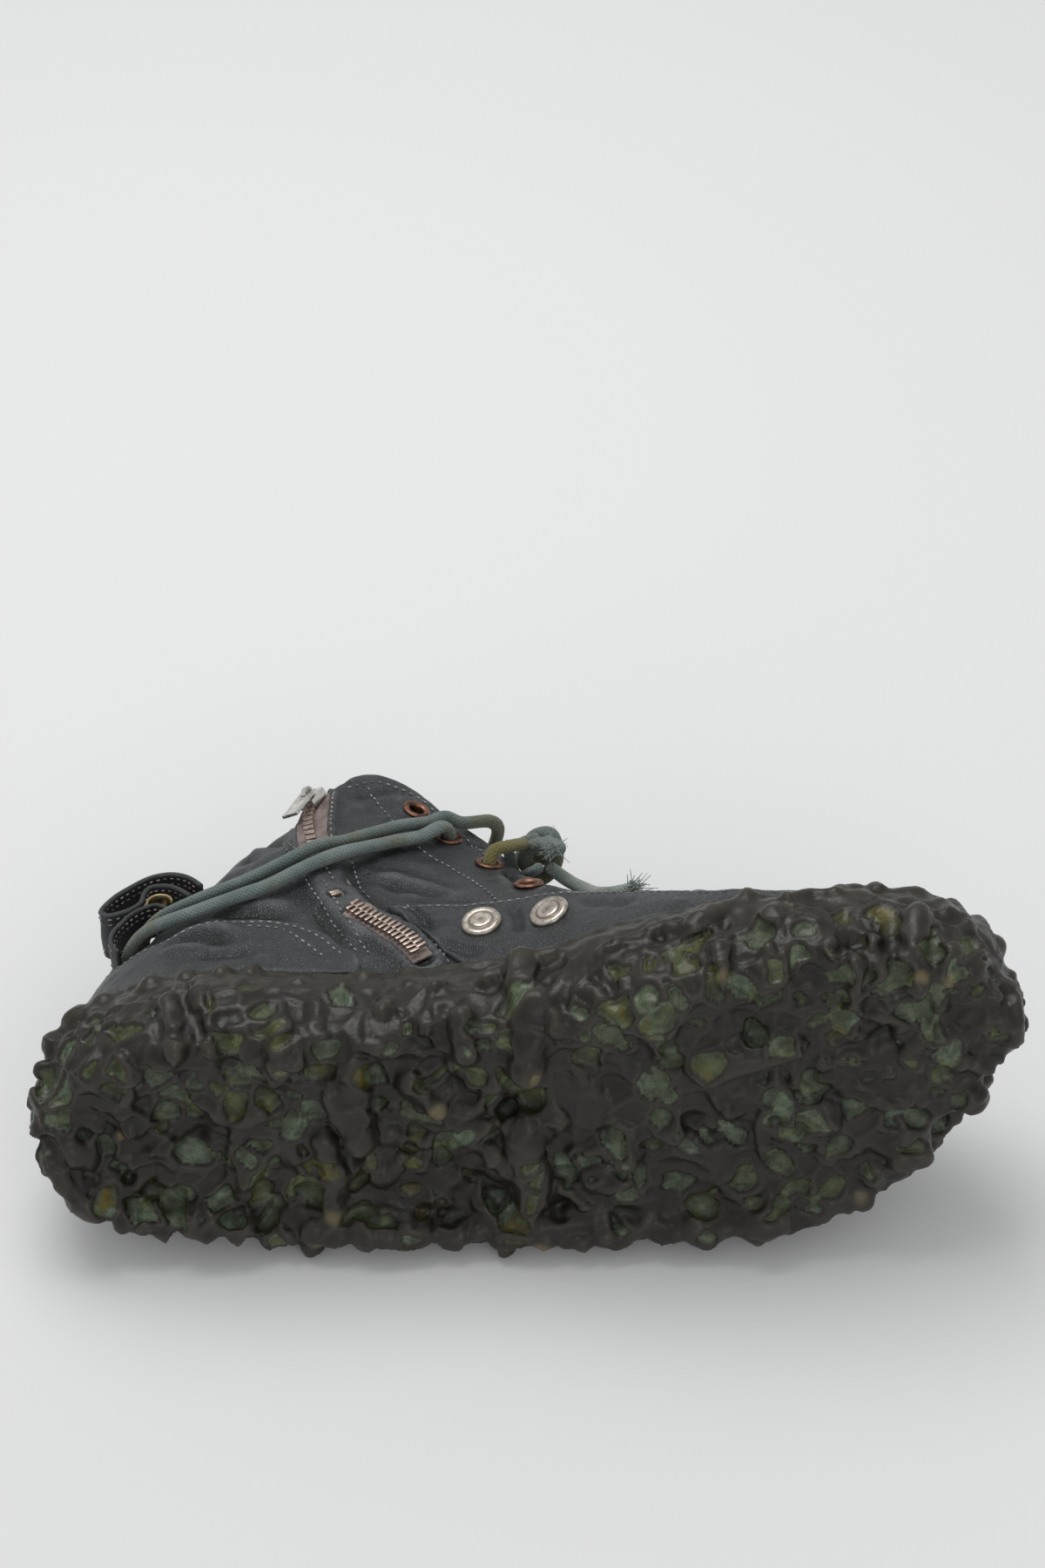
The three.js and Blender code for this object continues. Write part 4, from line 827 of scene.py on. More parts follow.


# %% [markdown]
# ## Strands, drips and lumps
# The strands that the photo shows are charted, each as a few pixels of the photo from root
# to tip and its thickness in millimetres there. A ray from the camera puts each point on the sole.
# Seeded ones fill the rest, so that every side is as rough as the one that shows.

# %% Strands that the photo shows
STRANDS = [   # pixels from root to tip, thickness at the root and the tip in mm
    ([(148, 1233), (142, 1268), (144, 1301)], 6.5, 4.4),
    ([(198, 1158), (200, 1186), (201, 1212)], 7.5, 4.2),
    ([(320, 1184), (321, 1206), (322, 1225)], 8.0, 4.2),
    ([(380, 1252), (394, 1280), (413, 1304)], 7.6, 5.6),
    ([(372, 1306), (384, 1352), (386, 1392)], 8.5, 6.0),
    ([(345, 1392), (356, 1416), (361, 1431)], 7.0, 4.0),
    ([(62, 1323), (52, 1326)], 3.6, 3.2),
    ([(122, 1346), (136, 1360), (153, 1362), (176, 1337)], 3.4, 3.4),
    ([(273, 1300), (270, 1332), (268, 1360)], 5.0, 3.6),
    ([(349, 1272), (341, 1288), (338, 1302)], 3.4, 3.0),
    ([(531, 1170), (535, 1196), (537, 1215)], 9.0, 4.6),
    ([(600, 1112), (603, 1165), (607, 1228)], 10.0, 7.0),
    ([(566, 1320), (590, 1338), (614, 1362)], 7.0, 5.0),
    ([(556, 1380), (572, 1412), (578, 1436)], 7.0, 4.2),
    ([(622, 1384), (623, 1412), (622, 1435)], 6.5, 5.0),
    ([(525, 1276), (545, 1270), (561, 1258), (573, 1238)], 4.6, 4.0),
    ([(469, 1238), (486, 1258), (503, 1272)], 8.0, 5.5),
    ([(421, 1330), (438, 1354), (460, 1331)], 4.4, 4.4),
    ([(645, 1362), (676, 1386)], 5.0, 3.6),
    ([(676, 1355), (698, 1362), (717, 1357)], 4.4, 4.0),
    ([(661, 1222), (672, 1240), (684, 1254)], 3.0, 2.6),
    ([(680, 1139), (708, 1162), (735, 1180)], 6.0, 5.0),
    ([(1050, 1054), (1053, 1090), (1055, 1122)], 6.6, 4.6),
    ([(1091, 1092), (1089, 1108), (1088, 1123)], 6.0, 4.4),
    ([(1160, 1152), (1162, 1174), (1161, 1191)], 6.0, 4.6),
    ([(1077, 1124), (1076, 1160), (1066, 1184), (1049, 1197)], 4.6, 4.2),
    ([(981, 1106), (985, 1138), (979, 1168)], 6.0, 4.6),
    ([(816, 1226), (853, 1220), (886, 1213), (917, 1200)], 5.5, 4.0),
    ([(892, 1240), (899, 1264), (906, 1288)], 4.2, 4.2),
    ([(911, 1222), (919, 1242), (928, 1258)], 4.4, 3.6),
    ([(882, 1268), (877, 1296), (879, 1325)], 4.2, 4.0),
    ([(940, 1342), (968, 1327), (998, 1308)], 1.6, 1.4),
    ([(1055, 1261), (1076, 1271), (1097, 1283)], 1.8, 1.6),
    ([(1083, 1213), (1108, 1217), (1133, 1224)], 4.6, 4.0),
    ([(1004, 1340), (998, 1362), (993, 1383)], 9.0, 6.0),
    ([(794, 1068), (820, 1054), (853, 1033)], 7.0, 5.5),
    ([(740, 1150), (744, 1166), (745, 1180)], 6.0, 4.4),
    ([(826, 1092), (829, 1106), (830, 1119)], 6.0, 4.2),
    ([(820, 1256), (825, 1270), (827, 1281)], 5.0, 4.0),
    ([(440, 1388), (470, 1398), (505, 1400)], 6.0, 5.0),
    ([(600, 1400), (640, 1404), (690, 1396)], 5.5, 5.0),
    ([(745, 1400), (800, 1404), (850, 1396)], 5.0, 4.4),
    ([(330, 1120), (380, 1118), (430, 1122)], 5.0, 4.0),
    ([(560, 1128), (596, 1112), (640, 1098)], 6.0, 5.0),
    ([(700, 1090), (735, 1076), (768, 1062)], 5.5, 4.6),
    ([(905, 1036), (930, 1030), (960, 1028)], 5.0, 4.4),
]
LUMPS = [   # pixel, radius in mm
    (81, 1320, 6.0), (63, 1200, 5.5), (89, 1172, 5.5), (188, 1419, 4.5), (221, 1417, 4.5), (239, 1425, 4.5),
    (313, 1428, 5.0), (388, 1427, 4.6), (448, 1297, 5.0), (635, 1279, 5.5), (1139, 1073, 4.6),
    (1151, 1132, 4.4), (1116, 1049, 4.4), (1088, 1290, 4.4), (1054, 1322, 4.6), (1028, 1340, 4.4),
    (1020, 1358, 4.0), (909, 1409, 4.0), (867, 1419, 4.2), (889, 1053, 4.2), (46, 1262, 4.4), (60, 1350, 4.4),
    (76, 1372, 4.2), (104, 1398, 4.6), (140, 1410, 4.4), (270, 1427, 4.4), (470, 1430, 4.2), (520, 1432, 4.2),
    (668, 1428, 4.2), (712, 1427, 4.4), (760, 1424, 4.2), (812, 1424, 4.4), (945, 1396, 4.2),
    (1075, 1308, 4.0),
    (1112, 1268, 4.2), (1136, 1240, 4.2), (256, 1112, 3.6), (292, 1108, 3.4), (214, 1118, 3.6),
    (173, 1132, 4.4),
    (120, 1152, 4.8), (420, 1112, 3.4), (470, 1110, 3.2), (958, 1020, 3.6), (1000, 1018, 3.6),
    (1040, 1020, 3.8),
    (860, 1028, 3.6), (1076, 1032, 4.0), (50, 1228, 4.4), (44, 1296, 4.2),
]
FOOT_LINE = [   # pixels a little inside the lower edge of the rubber
    (58, 1335), (96, 1382), (150, 1402), (200, 1406), (300, 1417), (400, 1421), (500, 1421), (600, 1417),
    (700, 1416),
    (800, 1410), (900, 1394), (990, 1368), (1045, 1330), (1095, 1286), (1125, 1248),
]
DRIPS = [   # the frame's own: root and tip as shares of length, ball width and sole height; mm thick and thin
    ((0.035, -0.10, 0.45), (0.012, -0.12, 0.14), 6, 3.5), ((0.100, -0.03, 0.30), (0.105, -0.02, 0.10), 8,
        3.6),
    ((0.160, 0.24, 0.35), (0.160, 0.27, 0.10), 7, 3.6), ((0.262, 0.18, 0.25), (0.263, 0.24, 0.10), 7, 3.8),
    ((0.335, 0.20, 0.18), (0.338, -0.05, 0.12), 5.5, 4.5), ((0.445, 0.22, 0.30), (0.450, 0.27, 0.12), 7, 3.8),
    ((0.515, 0.37, 0.35), (0.508, 0.20, 0.13), 6.5, 5), ((0.503, 0.00, 0.15), (0.512, -0.40, 0.13), 6, 5),
    ((0.285, -0.40, 0.30), (0.282, -0.45, 0.10), 6, 3.8), ((0.475, -0.40, 0.30), (0.478, -0.445, 0.10), 6,
        3.8),
    ((0.630, 0.33, 0.28), (0.628, 0.385, 0.10), 7, 3.8), ((0.700, 0.47, 0.35), (0.702, 0.52, 0.16), 7, 4.2),
    ((0.685, 0.22, 0.15), (0.770, 0.30, 0.12), 6, 4.5), ((0.880, 0.45, 0.25), (0.890, 0.49, 0.10), 6.5, 4),
    ((0.950, 0.26, 0.40), (0.976, 0.32, 0.16), 7, 4), ((0.840, -0.22, 0.35), (0.848, -0.305, 0.16), 7, 3.6),
    ((0.800, 0.02, 0.25), (0.806, 0.02, 0.10), 8, 4), ((0.225, -0.16, 0.25), (0.222, -0.20, 0.10), 8, 4),
    ((0.600, -0.10, 0.25), (0.604, -0.12, 0.10), 8, 4), ((0.160, -0.33, 0.66), (0.160, -0.455, 0.68), 9, 7),
    ((0.300, -0.36, 0.70), (0.300, -0.460, 0.72), 9, 7), ((0.690, -0.32, 0.64), (0.690, -0.455, 0.68), 9,
        7.5),
    ((0.560, -0.34, 0.66), (0.560, -0.460, 0.70), 9, 7),
]


def array_of(mesh, key, width=3):
    values = np.zeros(len(mesh) * width, np.float32)
    mesh.foreach_get(key, values)
    return values.reshape(-1, width).astype(float)


def template(bm):
    """Places and faces of a small shape, to be repeated."""
    bm.verts.ensure_lookup_table()
    found = np.array([v.co for v in bm.verts]), [[v.index for v in face.verts] for face in bm.faces]
    bm.free()
    return found


ball_shape = bmesh.new()
bmesh.ops.create_icosphere(ball_shape, subdivisions=2, radius=1)
BALL = template(ball_shape)
rod_shape = bmesh.new()
bmesh.ops.create_cone(rod_shape, cap_ends=True, segments=10, radius1=1, radius2=1, depth=1)
ROD = template(rod_shape)


def add_ball(heap, spot, radius):
    heap.append((np.asarray(spot) + BALL[0] * radius, BALL[1]))


def add_strand(heap, points, radii):
    """A melted strand: balls along a line with rods between them."""
    points = [np.array(p, float) for p in points]
    for a, b, ra, rb in zip(points, points[1:], radii, radii[1:]):
        aim = np.array(Vector(b - a).to_track_quat("Z", "Y").to_matrix())
        wide = np.where(ROD[0][:, 2:] < 0, ra, rb)
        local = ROD[0] * np.concatenate([wide, wide, np.full_like(wide, np.linalg.norm(b - a))], 1)
        heap.append((local @ aim.T + (a + b) / 2, ROD[1]))
    for spot, radius in zip(points, radii):
        add_ball(heap, spot, radius)


def heap_object(name, heap):
    """One object from a heap of places and faces."""
    starts = np.cumsum([0] + [len(places) for places, _ in heap])
    faces = [[int(i + start) for i in face] for start, (_, shape) in zip(starts, heap) for face in shape]
    mesh = bpy.data.meshes.new(name)
    mesh.from_pydata(np.concatenate([places for places, _ in heap]).tolist(), [], faces)
    piece = bpy.data.objects.new(name, mesh)
    bpy.context.scene.collection.objects.link(piece)
    return piece


FOOT_STEP = 15            # pixels between the lumps of the lower edge
LAP_STEP = 0.13           # ribs between the balls that lap on the leather
SEEDED_STRANDS = 210


def grow_sole():
    heap = [(array_of(core.data.vertices, "co"), [list(face.vertices) for face in core.data.polygons])]
    tips = []
    for pixels, thick, thin in STRANDS:
        places = [on_rubber(x, y) for x, y in pixels]
        radii = np.linspace(thick, thin, len(pixels)) / 2 * MM
        add_strand(heap, [spot + out * r * 0.35 for (spot, out), r in zip(places, radii)], radii)
        if thin >= 4 and thick >= thin + 1.5:
            tips.append((places[-1][0] + places[-1][1] * thin * 0.35 * MM, thin * MM))
    foot = smooth_path(FOOT_LINE, step=FOOT_STEP)
    drift = random.Random(11)
    feet = [(x + drift.uniform(-6, 6), y + drift.uniform(-4, 3), drift.uniform(3.4, 6.4)) for x, y in foot]
    for x, y, radius in [*LUMPS, *feet]:
        spot, out = on_rubber(x, y)
        root = core_tree.find_nearest(spot)[0]
        add_strand(heap, [root, spot + out * radius * 0.15 * MM], [radius * 0.95 * MM, radius * 0.8 * MM])
    for root, tip, thick, thin in DRIPS:
        ends = [Vector(place(u * LENGTH, v * BALL_WIDTH, h * SOLE_HEIGHT + toe_rise(u * LENGTH)))
                for u, v, h in (root, tip)]
        add_strand(heap, ends, [thick * MM, thin * MM])
    dice = random.Random(7)
    around = np.arange(0, RIB_COUNT, LAP_STEP)
    climb = 0.020 + 0.016 * haze(np.stack([around, 0 * around, 0 * around], -1), 0.9, 35)
    for spot in over(around, climb, np.full_like(around, 0.6 * MM)):
        add_ball(heap, spot, dice.uniform(2.3, 3.3) * MM)
    rows, columns = body_rows.shape[:2]
    outer = int(10.2 * SMOOTH_STEPS)
    down = unit(place(0, 0, 0) - place(0, 0, 1))
    for _ in range(SEEDED_STRANDS):
        i = dice.randrange(2, outer)
        j = dice.randrange(columns)
        out = body_out[i, j]
        thick = dice.uniform(1.3, 3.0) * MM
        flow = down if i > 5 * SMOOTH_STEPS else np.array(
            [dice.gauss(0, 1), dice.gauss(0, 0.3), dice.gauss(-0.5, 1)])
        flow = unit(flow - out * (flow @ out))
        spot = body_rows[i, j]
        end = spot + flow * dice.uniform(1.5, 6) * thick
        end = np.array(core_tree.find_nearest(end)[0]) + out * thick * dice.uniform(-0.1, 0.45)
        middle = (spot + end) / 2 + out * thick * 0.15 + np.cross(out, flow) * thick * dice.uniform(-0.6, 0.6)
        add_strand(heap, [spot - out * thick * 0.5, middle, end], [thick, thick * 0.85, thick * 0.95])
    return heap_object("rubber_sole", heap), tips


sole, drip_tips = grow_sole()

# %% [markdown]
# ## Melting the rubber together
# The Remesh modifier in voxel mode turns the heap into one skin, and a Smooth modifier rounds the
# creases between the strands. Both are applied at once by reading the evaluated mesh.

# %% Voxel remesh
VOXEL = 1.25 * MM


def melt(piece, voxel, smoothings):
    remesh = piece.modifiers.new("melt", "REMESH")
    remesh.mode = "VOXEL"
    remesh.voxel_size = voxel
    soften = piece.modifiers.new("soften", "SMOOTH")
    soften.factor = 0.5
    soften.iterations = smoothings
    done = bpy.data.meshes.new_from_object(piece.evaluated_get(bpy.context.evaluated_depsgraph_get()))
    old = piece.data
    piece.modifiers.clear()
    piece.data = done
    bpy.data.meshes.remove(old)


melt(sole, VOXEL, 5)

# %% [markdown]
# ## Thin windows, pits and veins
# Between the strands the rubber is thin and flat, and a green layer shows through. Cells worked out
# by a Voronoi noise give most of these windows a rounded edge; the largest are charted from the
# photo, as pixel, size in millimetres and tone: 0 is teal, 0.5 olive, 1 amber. Deep holes are
# charted the same way.

# %% Windows and holes that the photo shows
WINDOWS = [   # pixel, size in mm, tone
    (173, 1228, 6, .3), (130, 1228, 6, .6), (99, 1233, 5, .6), (58, 1238, 6, .5), (74, 1279, 6, .4),
    (125, 1179, 5, .6), (173, 1167, 5, .5), (239, 1151, 4, .8), (260, 1190, 6, .6), (250, 1246, 6, .7),
    (222, 1248, 5, .2), (303, 1233, 7, .3), (336, 1256, 7, .4), (303, 1258, 6, .7), (364, 1271, 9, .2),
    (224, 1271, 6, .7), (318, 1286, 6, .4), (186, 1292, 5, .7), (283, 1309, 5, .4), (311, 1335, 5, .4),
    (250, 1327, 5, .5), (183, 1325, 6, .6), (140, 1335, 5, .1), (99, 1343, 7, 1), (122, 1368, 8, 1),
    (99, 1381, 7, .5), (178, 1368, 8, .6), (204, 1368, 6, .3), (239, 1386, 6, .1), (301, 1365, 8, .7),
    (326, 1381, 7, .5), (354, 1371, 7, .6), (311, 1401, 8, .4), (270, 1404, 5, .7), (209, 1401, 5, .8),
    (372, 1207, 7, .2), (359, 1179, 6, .6), (413, 1388, 6, .5), (468, 1178, 5, .4), (444, 1205, 6, .2),
    (431, 1238, 5, .2), (436, 1269, 6, .3), (472, 1274, 8, .4), (474, 1310, 8, .8), (474, 1336, 6, .8),
    (469, 1363, 6, 1), (508, 1330, 7, .5), (431, 1389, 9, .5), (487, 1389, 6, 1), (538, 1304, 5, .2),
    (569, 1376, 9, .1), (556, 1238, 6, .5), (584, 1187, 7, .5), (592, 1246, 6, .5), (610, 1327, 8, .4),
    (653, 1345, 8, .1), (704, 1333, 9, .1), (722, 1322, 6, .3), (747, 1310, 6, .6), (724, 1368, 7, .3),
    (770, 1361, 6, .2), (732, 1409, 7, .4), (694, 1412, 6, .5), (740, 1149, 8, .3), (668, 1157, 6, .3),
    (678, 1128, 5, .4), (707, 1190, 9, .4), (668, 1192, 6, .3), (758, 1182, 8, .4), (768, 1256, 6, .5),
    (745, 1108, 6, .8), (709, 1111, 6, .7), (770, 1093, 6, .8), (775, 1144, 7, .3), (426, 1115, 6, .5),
    (579, 1116, 4, .6), (872, 1077, 9, .3), (925, 1067, 7, .2), (917, 1093, 5, .3), (774, 1098, 6, .6),
    (903, 1042, 4, 1), (969, 1053, 6, .8), (1012, 1048, 5, 1), (1029, 1062, 6, .9), (1071, 1073, 5, .5),
    (1069, 1093, 5, .4), (1029, 1118, 10, .4), (1091, 1135, 6, .4), (1063, 1157, 8, .3), (1139, 1123, 6, .5),
    (1127, 1140, 5, .6), (1144, 1182, 6, .6), (886, 1118, 7, .6), (879, 1146, 8, .4), (867, 1185, 10, .2),
    (764, 1194, 8, .3), (802, 1168, 5, .5), (956, 1154, 6, .5), (937, 1174, 7, .5), (959, 1191, 5, .8),
    (956, 1121, 7, .4), (973, 1216, 5, .5), (931, 1233, 8, .4), (892, 1258, 8, .2), (883, 1283, 6, .3),
    (917, 1297, 8, .5), (931, 1314, 7, .2), (982, 1269, 7, .2), (1038, 1269, 8, .2), (1083, 1208, 9, .2),
    (1077, 1230, 7, .5), (827, 1241, 5, .1), (768, 1255, 5, .3), (840, 1303, 9, .1), (853, 1348, 7, .6),
    (897, 1339, 10, .4), (782, 1356, 10, .1), (810, 1384, 9, .5), (897, 1384, 8, .5), (956, 1365, 9, .6),
    (1043, 1314, 7, .5), (1099, 1261, 7, .4), (850, 1401, 6, .5), (520, 1391, 5, .8), (612, 1391, 6, .4),
]
HOLES = [   # pixel, width in mm, depth in mm
    (229, 1309, 6, 5), (265, 1218, 7, 4), (209, 1238, 5, 3), (117, 1302, 6, 4), (398, 1330, 8, 5),
    (492, 1200, 9, 4), (574, 1213, 6, 3), (559, 1355, 9, 5), (635, 1238, 8, 4), (610, 1310, 7, 3),
    (640, 1388, 8, 5), (1015, 1194, 8, 6), (970, 1079, 8, 5), (928, 1121, 8, 3), (993, 1132, 5, 3),
    (853, 1107, 8, 3), (794, 1297, 9, 5), (822, 1311, 5, 4), (1007, 1072, 8, 4), (886, 1371, 5, 3),
    (648, 1154, 5, 4), (430, 1300, 6, 4), (520, 1240, 6, 3), (700, 1240, 10, 3), (860, 1237, 9, 4),
    (330, 1345, 8, 3), (160, 1310, 6, 3), (1000, 1230, 7, 3), (742, 1225, 8, 3), (590, 1270, 7, 3),
]
CELL = 9.5 * MM


def neighbours_mean(values, edges, degree):
    ends = np.concatenate([edges[:, 0], edges[:, 1]])
    others = np.concatenate([edges[:, 1], edges[:, 0]])
    total = [np.bincount(ends, weights=values[others, k],
                         minlength=len(values)) for k in range(values.shape[1])]
    return np.stack(total, -1) / degree[:, None]


def raised_mask(mesh, rounds, height):
    """How far each vertex stands above its smoothed surroundings: 0.5 is level."""
    spots = array_of(mesh.vertices, "co")
    outs = array_of(mesh.vertices, "normal")
    edges = np.zeros(len(mesh.edges) * 2, np.int32)
    mesh.edges.foreach_get("vertices", edges)
    edges = edges.reshape(-1, 2)
    degree = np.bincount(edges.reshape(-1), minlength=len(spots)).astype(float)
    soft = spots.copy()
    for _ in range(rounds):
        soft = 0.5 * soft + 0.5 * neighbours_mean(soft, edges, degree)
    above = np.einsum("ij,ij->i", spots - soft, outs)
    return np.clip(0.5 + 0.5 * above / height, 0, 1)


def set_mask(mesh, name, values):
    layer = mesh.attributes.get(name) or mesh.attributes.new(name, "FLOAT", "POINT")
    layer.data.foreach_set("value", np.asarray(values, np.float32))


def step_between(x, low, high):
    s = np.clip((x - low) / (high - low), 0, 1)
    return s * s * (3 - 2 * s)


def bell(far, half, away=0.0, power=2):
    """1 at a distance of away, falling off on both sides of it."""
    return np.exp(-(((far - away) / half) ** power))


def carve_sole(piece):
    mesh = piece.data
    spots = array_of(mesh.vertices, "co")
    outs = array_of(mesh.vertices, "normal")
    along, inward, up = shoe_place(spots)
    # the band under the rim is smooth, and nothing is carved on the rim's inner side
    nearest = [core_tree.find_nearest(Vector(p))[2] for p in spots]
    rows_at = np.array(nearest) // (body_rows.shape[1] - 1) / SMOOTH_STEPS
    free = 1 - step_between(rows_at, RIM_TOP_ROW - 1.6, RIM_TOP_ROW - 0.4)
    band = step_between(up - toe_rise(along), 0.62 * SOLE_HEIGHT, 0.85 * SOLE_HEIGHT)
    wander = np.stack([haze(spots, 11 * MM, k) for k in (11, 12, 13)], -1) * 3.0 * MM
    ragged = 0.5 * wander + 2.1 * MM * np.stack([haze(spots, 4.6 * MM, k) for k in (15, 16, 17)], -1)
    near, next_near, number = cells(spots + wander, CELL, 5)
    edge = next_near - near
    window = step_between(edge, 0.14, 0.30) * (number > 0.62) * (1 - 0.9 * band)
    strand = 1 - step_between(edge, 0.0, 0.3)
    tone = np.clip(0.42 + 0.8 * haze(spots, 18 * MM, 21), 0, 1)
    for x, y, size, hue in WINDOWS:
        spot, _ = on_rubber(x, y)
        far = np.linalg.norm(spots + ragged - np.array(spot), axis=1)
        here = 1 - step_between(far, 0.36 * size * MM, 0.56 * size * MM)
        rim = bell(far, 1.0 * MM, 0.60 * size * MM)
        window = np.maximum(window, here)
        strand = np.maximum(strand * (1 - here), 0.8 * rim)
        tone = tone + (hue - tone) * (far < 0.9 * size * MM)
    dips = np.zeros(len(spots))
    for x, y, width, depth in HOLES:
        spot, _ = on_rubber(x, y)
        far = np.linalg.norm(spots + ragged - np.array(spot), axis=1)
        dips = np.minimum(dips, -0.75 * depth * MM * bell(far, 0.5 * width * MM))
        window *= step_between(far, 0.3 * width * MM, 0.6 * width * MM)
    broad = haze(spots, 15 * MM, 31) + 0.5 * haze(spots, 8 * MM, 32)
    fine = haze(spots, 4.5 * MM, 33) + 0.5 * haze(spots, 2.4 * MM, 34)
    push = 1.0 * MM * strand * (1 - 0.55 * band) - 1.4 * MM * window + 1.1 * MM * broad
    push += 0.22 * MM * fine * (1 - window) + dips
    spots += outs * (push * free)[:, None]
    spots[:, 2] = np.maximum(spots[:, 2], 0.2 * MM)
    mesh.vertices.foreach_set("co", spots.reshape(-1).astype(np.float32))
    mesh.update()
    tip = np.zeros(len(spots))
    for spot, size in drip_tips:
        far = np.linalg.norm(spots - np.array(spot), axis=1)
        tip = np.maximum(tip, 0.4 * (1 - step_between(far, 0.3 * size, 0.75 * size)))
    set_mask(mesh, "thin", window * free)
    set_mask(mesh, "tone", tone)
    set_mask(mesh, "tip", tip)
    set_mask(mesh, "film", np.clip(band, 0, 1))
    set_mask(mesh, "raised", raised_mask(mesh, 14, 1.6 * MM))


carve_sole(sole)
sole.data.shade_smooth()
dress(sole, rubber, "rubber", "outsole")
bpy.data.objects.remove(core)

# %% [markdown]
# ## Where the zip runs
# The leather has to know the zip: it lies over it in the middle and lips up beside it below.

# %% The zip's line
ZIP_PATH = np.array([(3.75, 0.985), (3.95, 0.92), (4.20, 0.82), (4.75, 0.65), (5.25, 0.50), (5.62, 0.39),
                     (5.98, 0.33), (6.44, 0.25), (6.80, 0.17), (7.06, 0.085)])
TAPE_HALF = 5.5 * MM
TAPE = 0.6 * MM
TAPE_LOW = 0.75 * MM
CHAIN_LOW = TAPE_LOW + TAPE + GAP
SLIDER_AT = 0.035
SLIDER_HEADING = (-0.435, -0.148)


def open_curve(rows, shares):
    """Smooth open curve through rows, the same one that the frame's zip follows."""
    at = np.clip(shares, 0, 1) * (len(rows) - 1)
    i = np.minimum(at.astype(int), len(rows) - 2)
    s = (at - i)[:, None]
    a, b, c, d = (rows[np.clip(i + k, 0, len(rows) - 1)] for k in (-1, 0, 1, 2))
    return 0.5 * (2 * b + (c - a) * s + (2 * a - 5 * b + 4 * c - d) * s**2 + (3 * b - a - 3 * c + d) * s**3)


zip_qt = open_curve(ZIP_PATH, np.linspace(0, 1, 401))
zip_skin = skin(zip_qt[:, 0], zip_qt[:, 1])
zip_reach = np.concatenate([[0], np.cumsum(np.linalg.norm(np.diff(zip_skin, axis=0), axis=1))])
ZIP_LENGTH = zip_reach[-1]


def zip_share(q):
    return float(np.interp(q, zip_qt[:, 0], zip_reach / ZIP_LENGTH))


COVER_FROM, COVER_TO, PEEP_AT = zip_share(4.75), zip_share(5.92), zip_share(5.58)
PEEP, PEEP_HALF = 0.018, 2.6 * MM        # the small hole in the cover: share of the zip, half its width
COVER_HIGH, COVER_HALF = 2.9 * MM, 6.6 * MM
LIP_HIGH, LIP_AWAY, LIP_HALF = 2.5 * MM, 5.0 * MM, 1.8 * MM
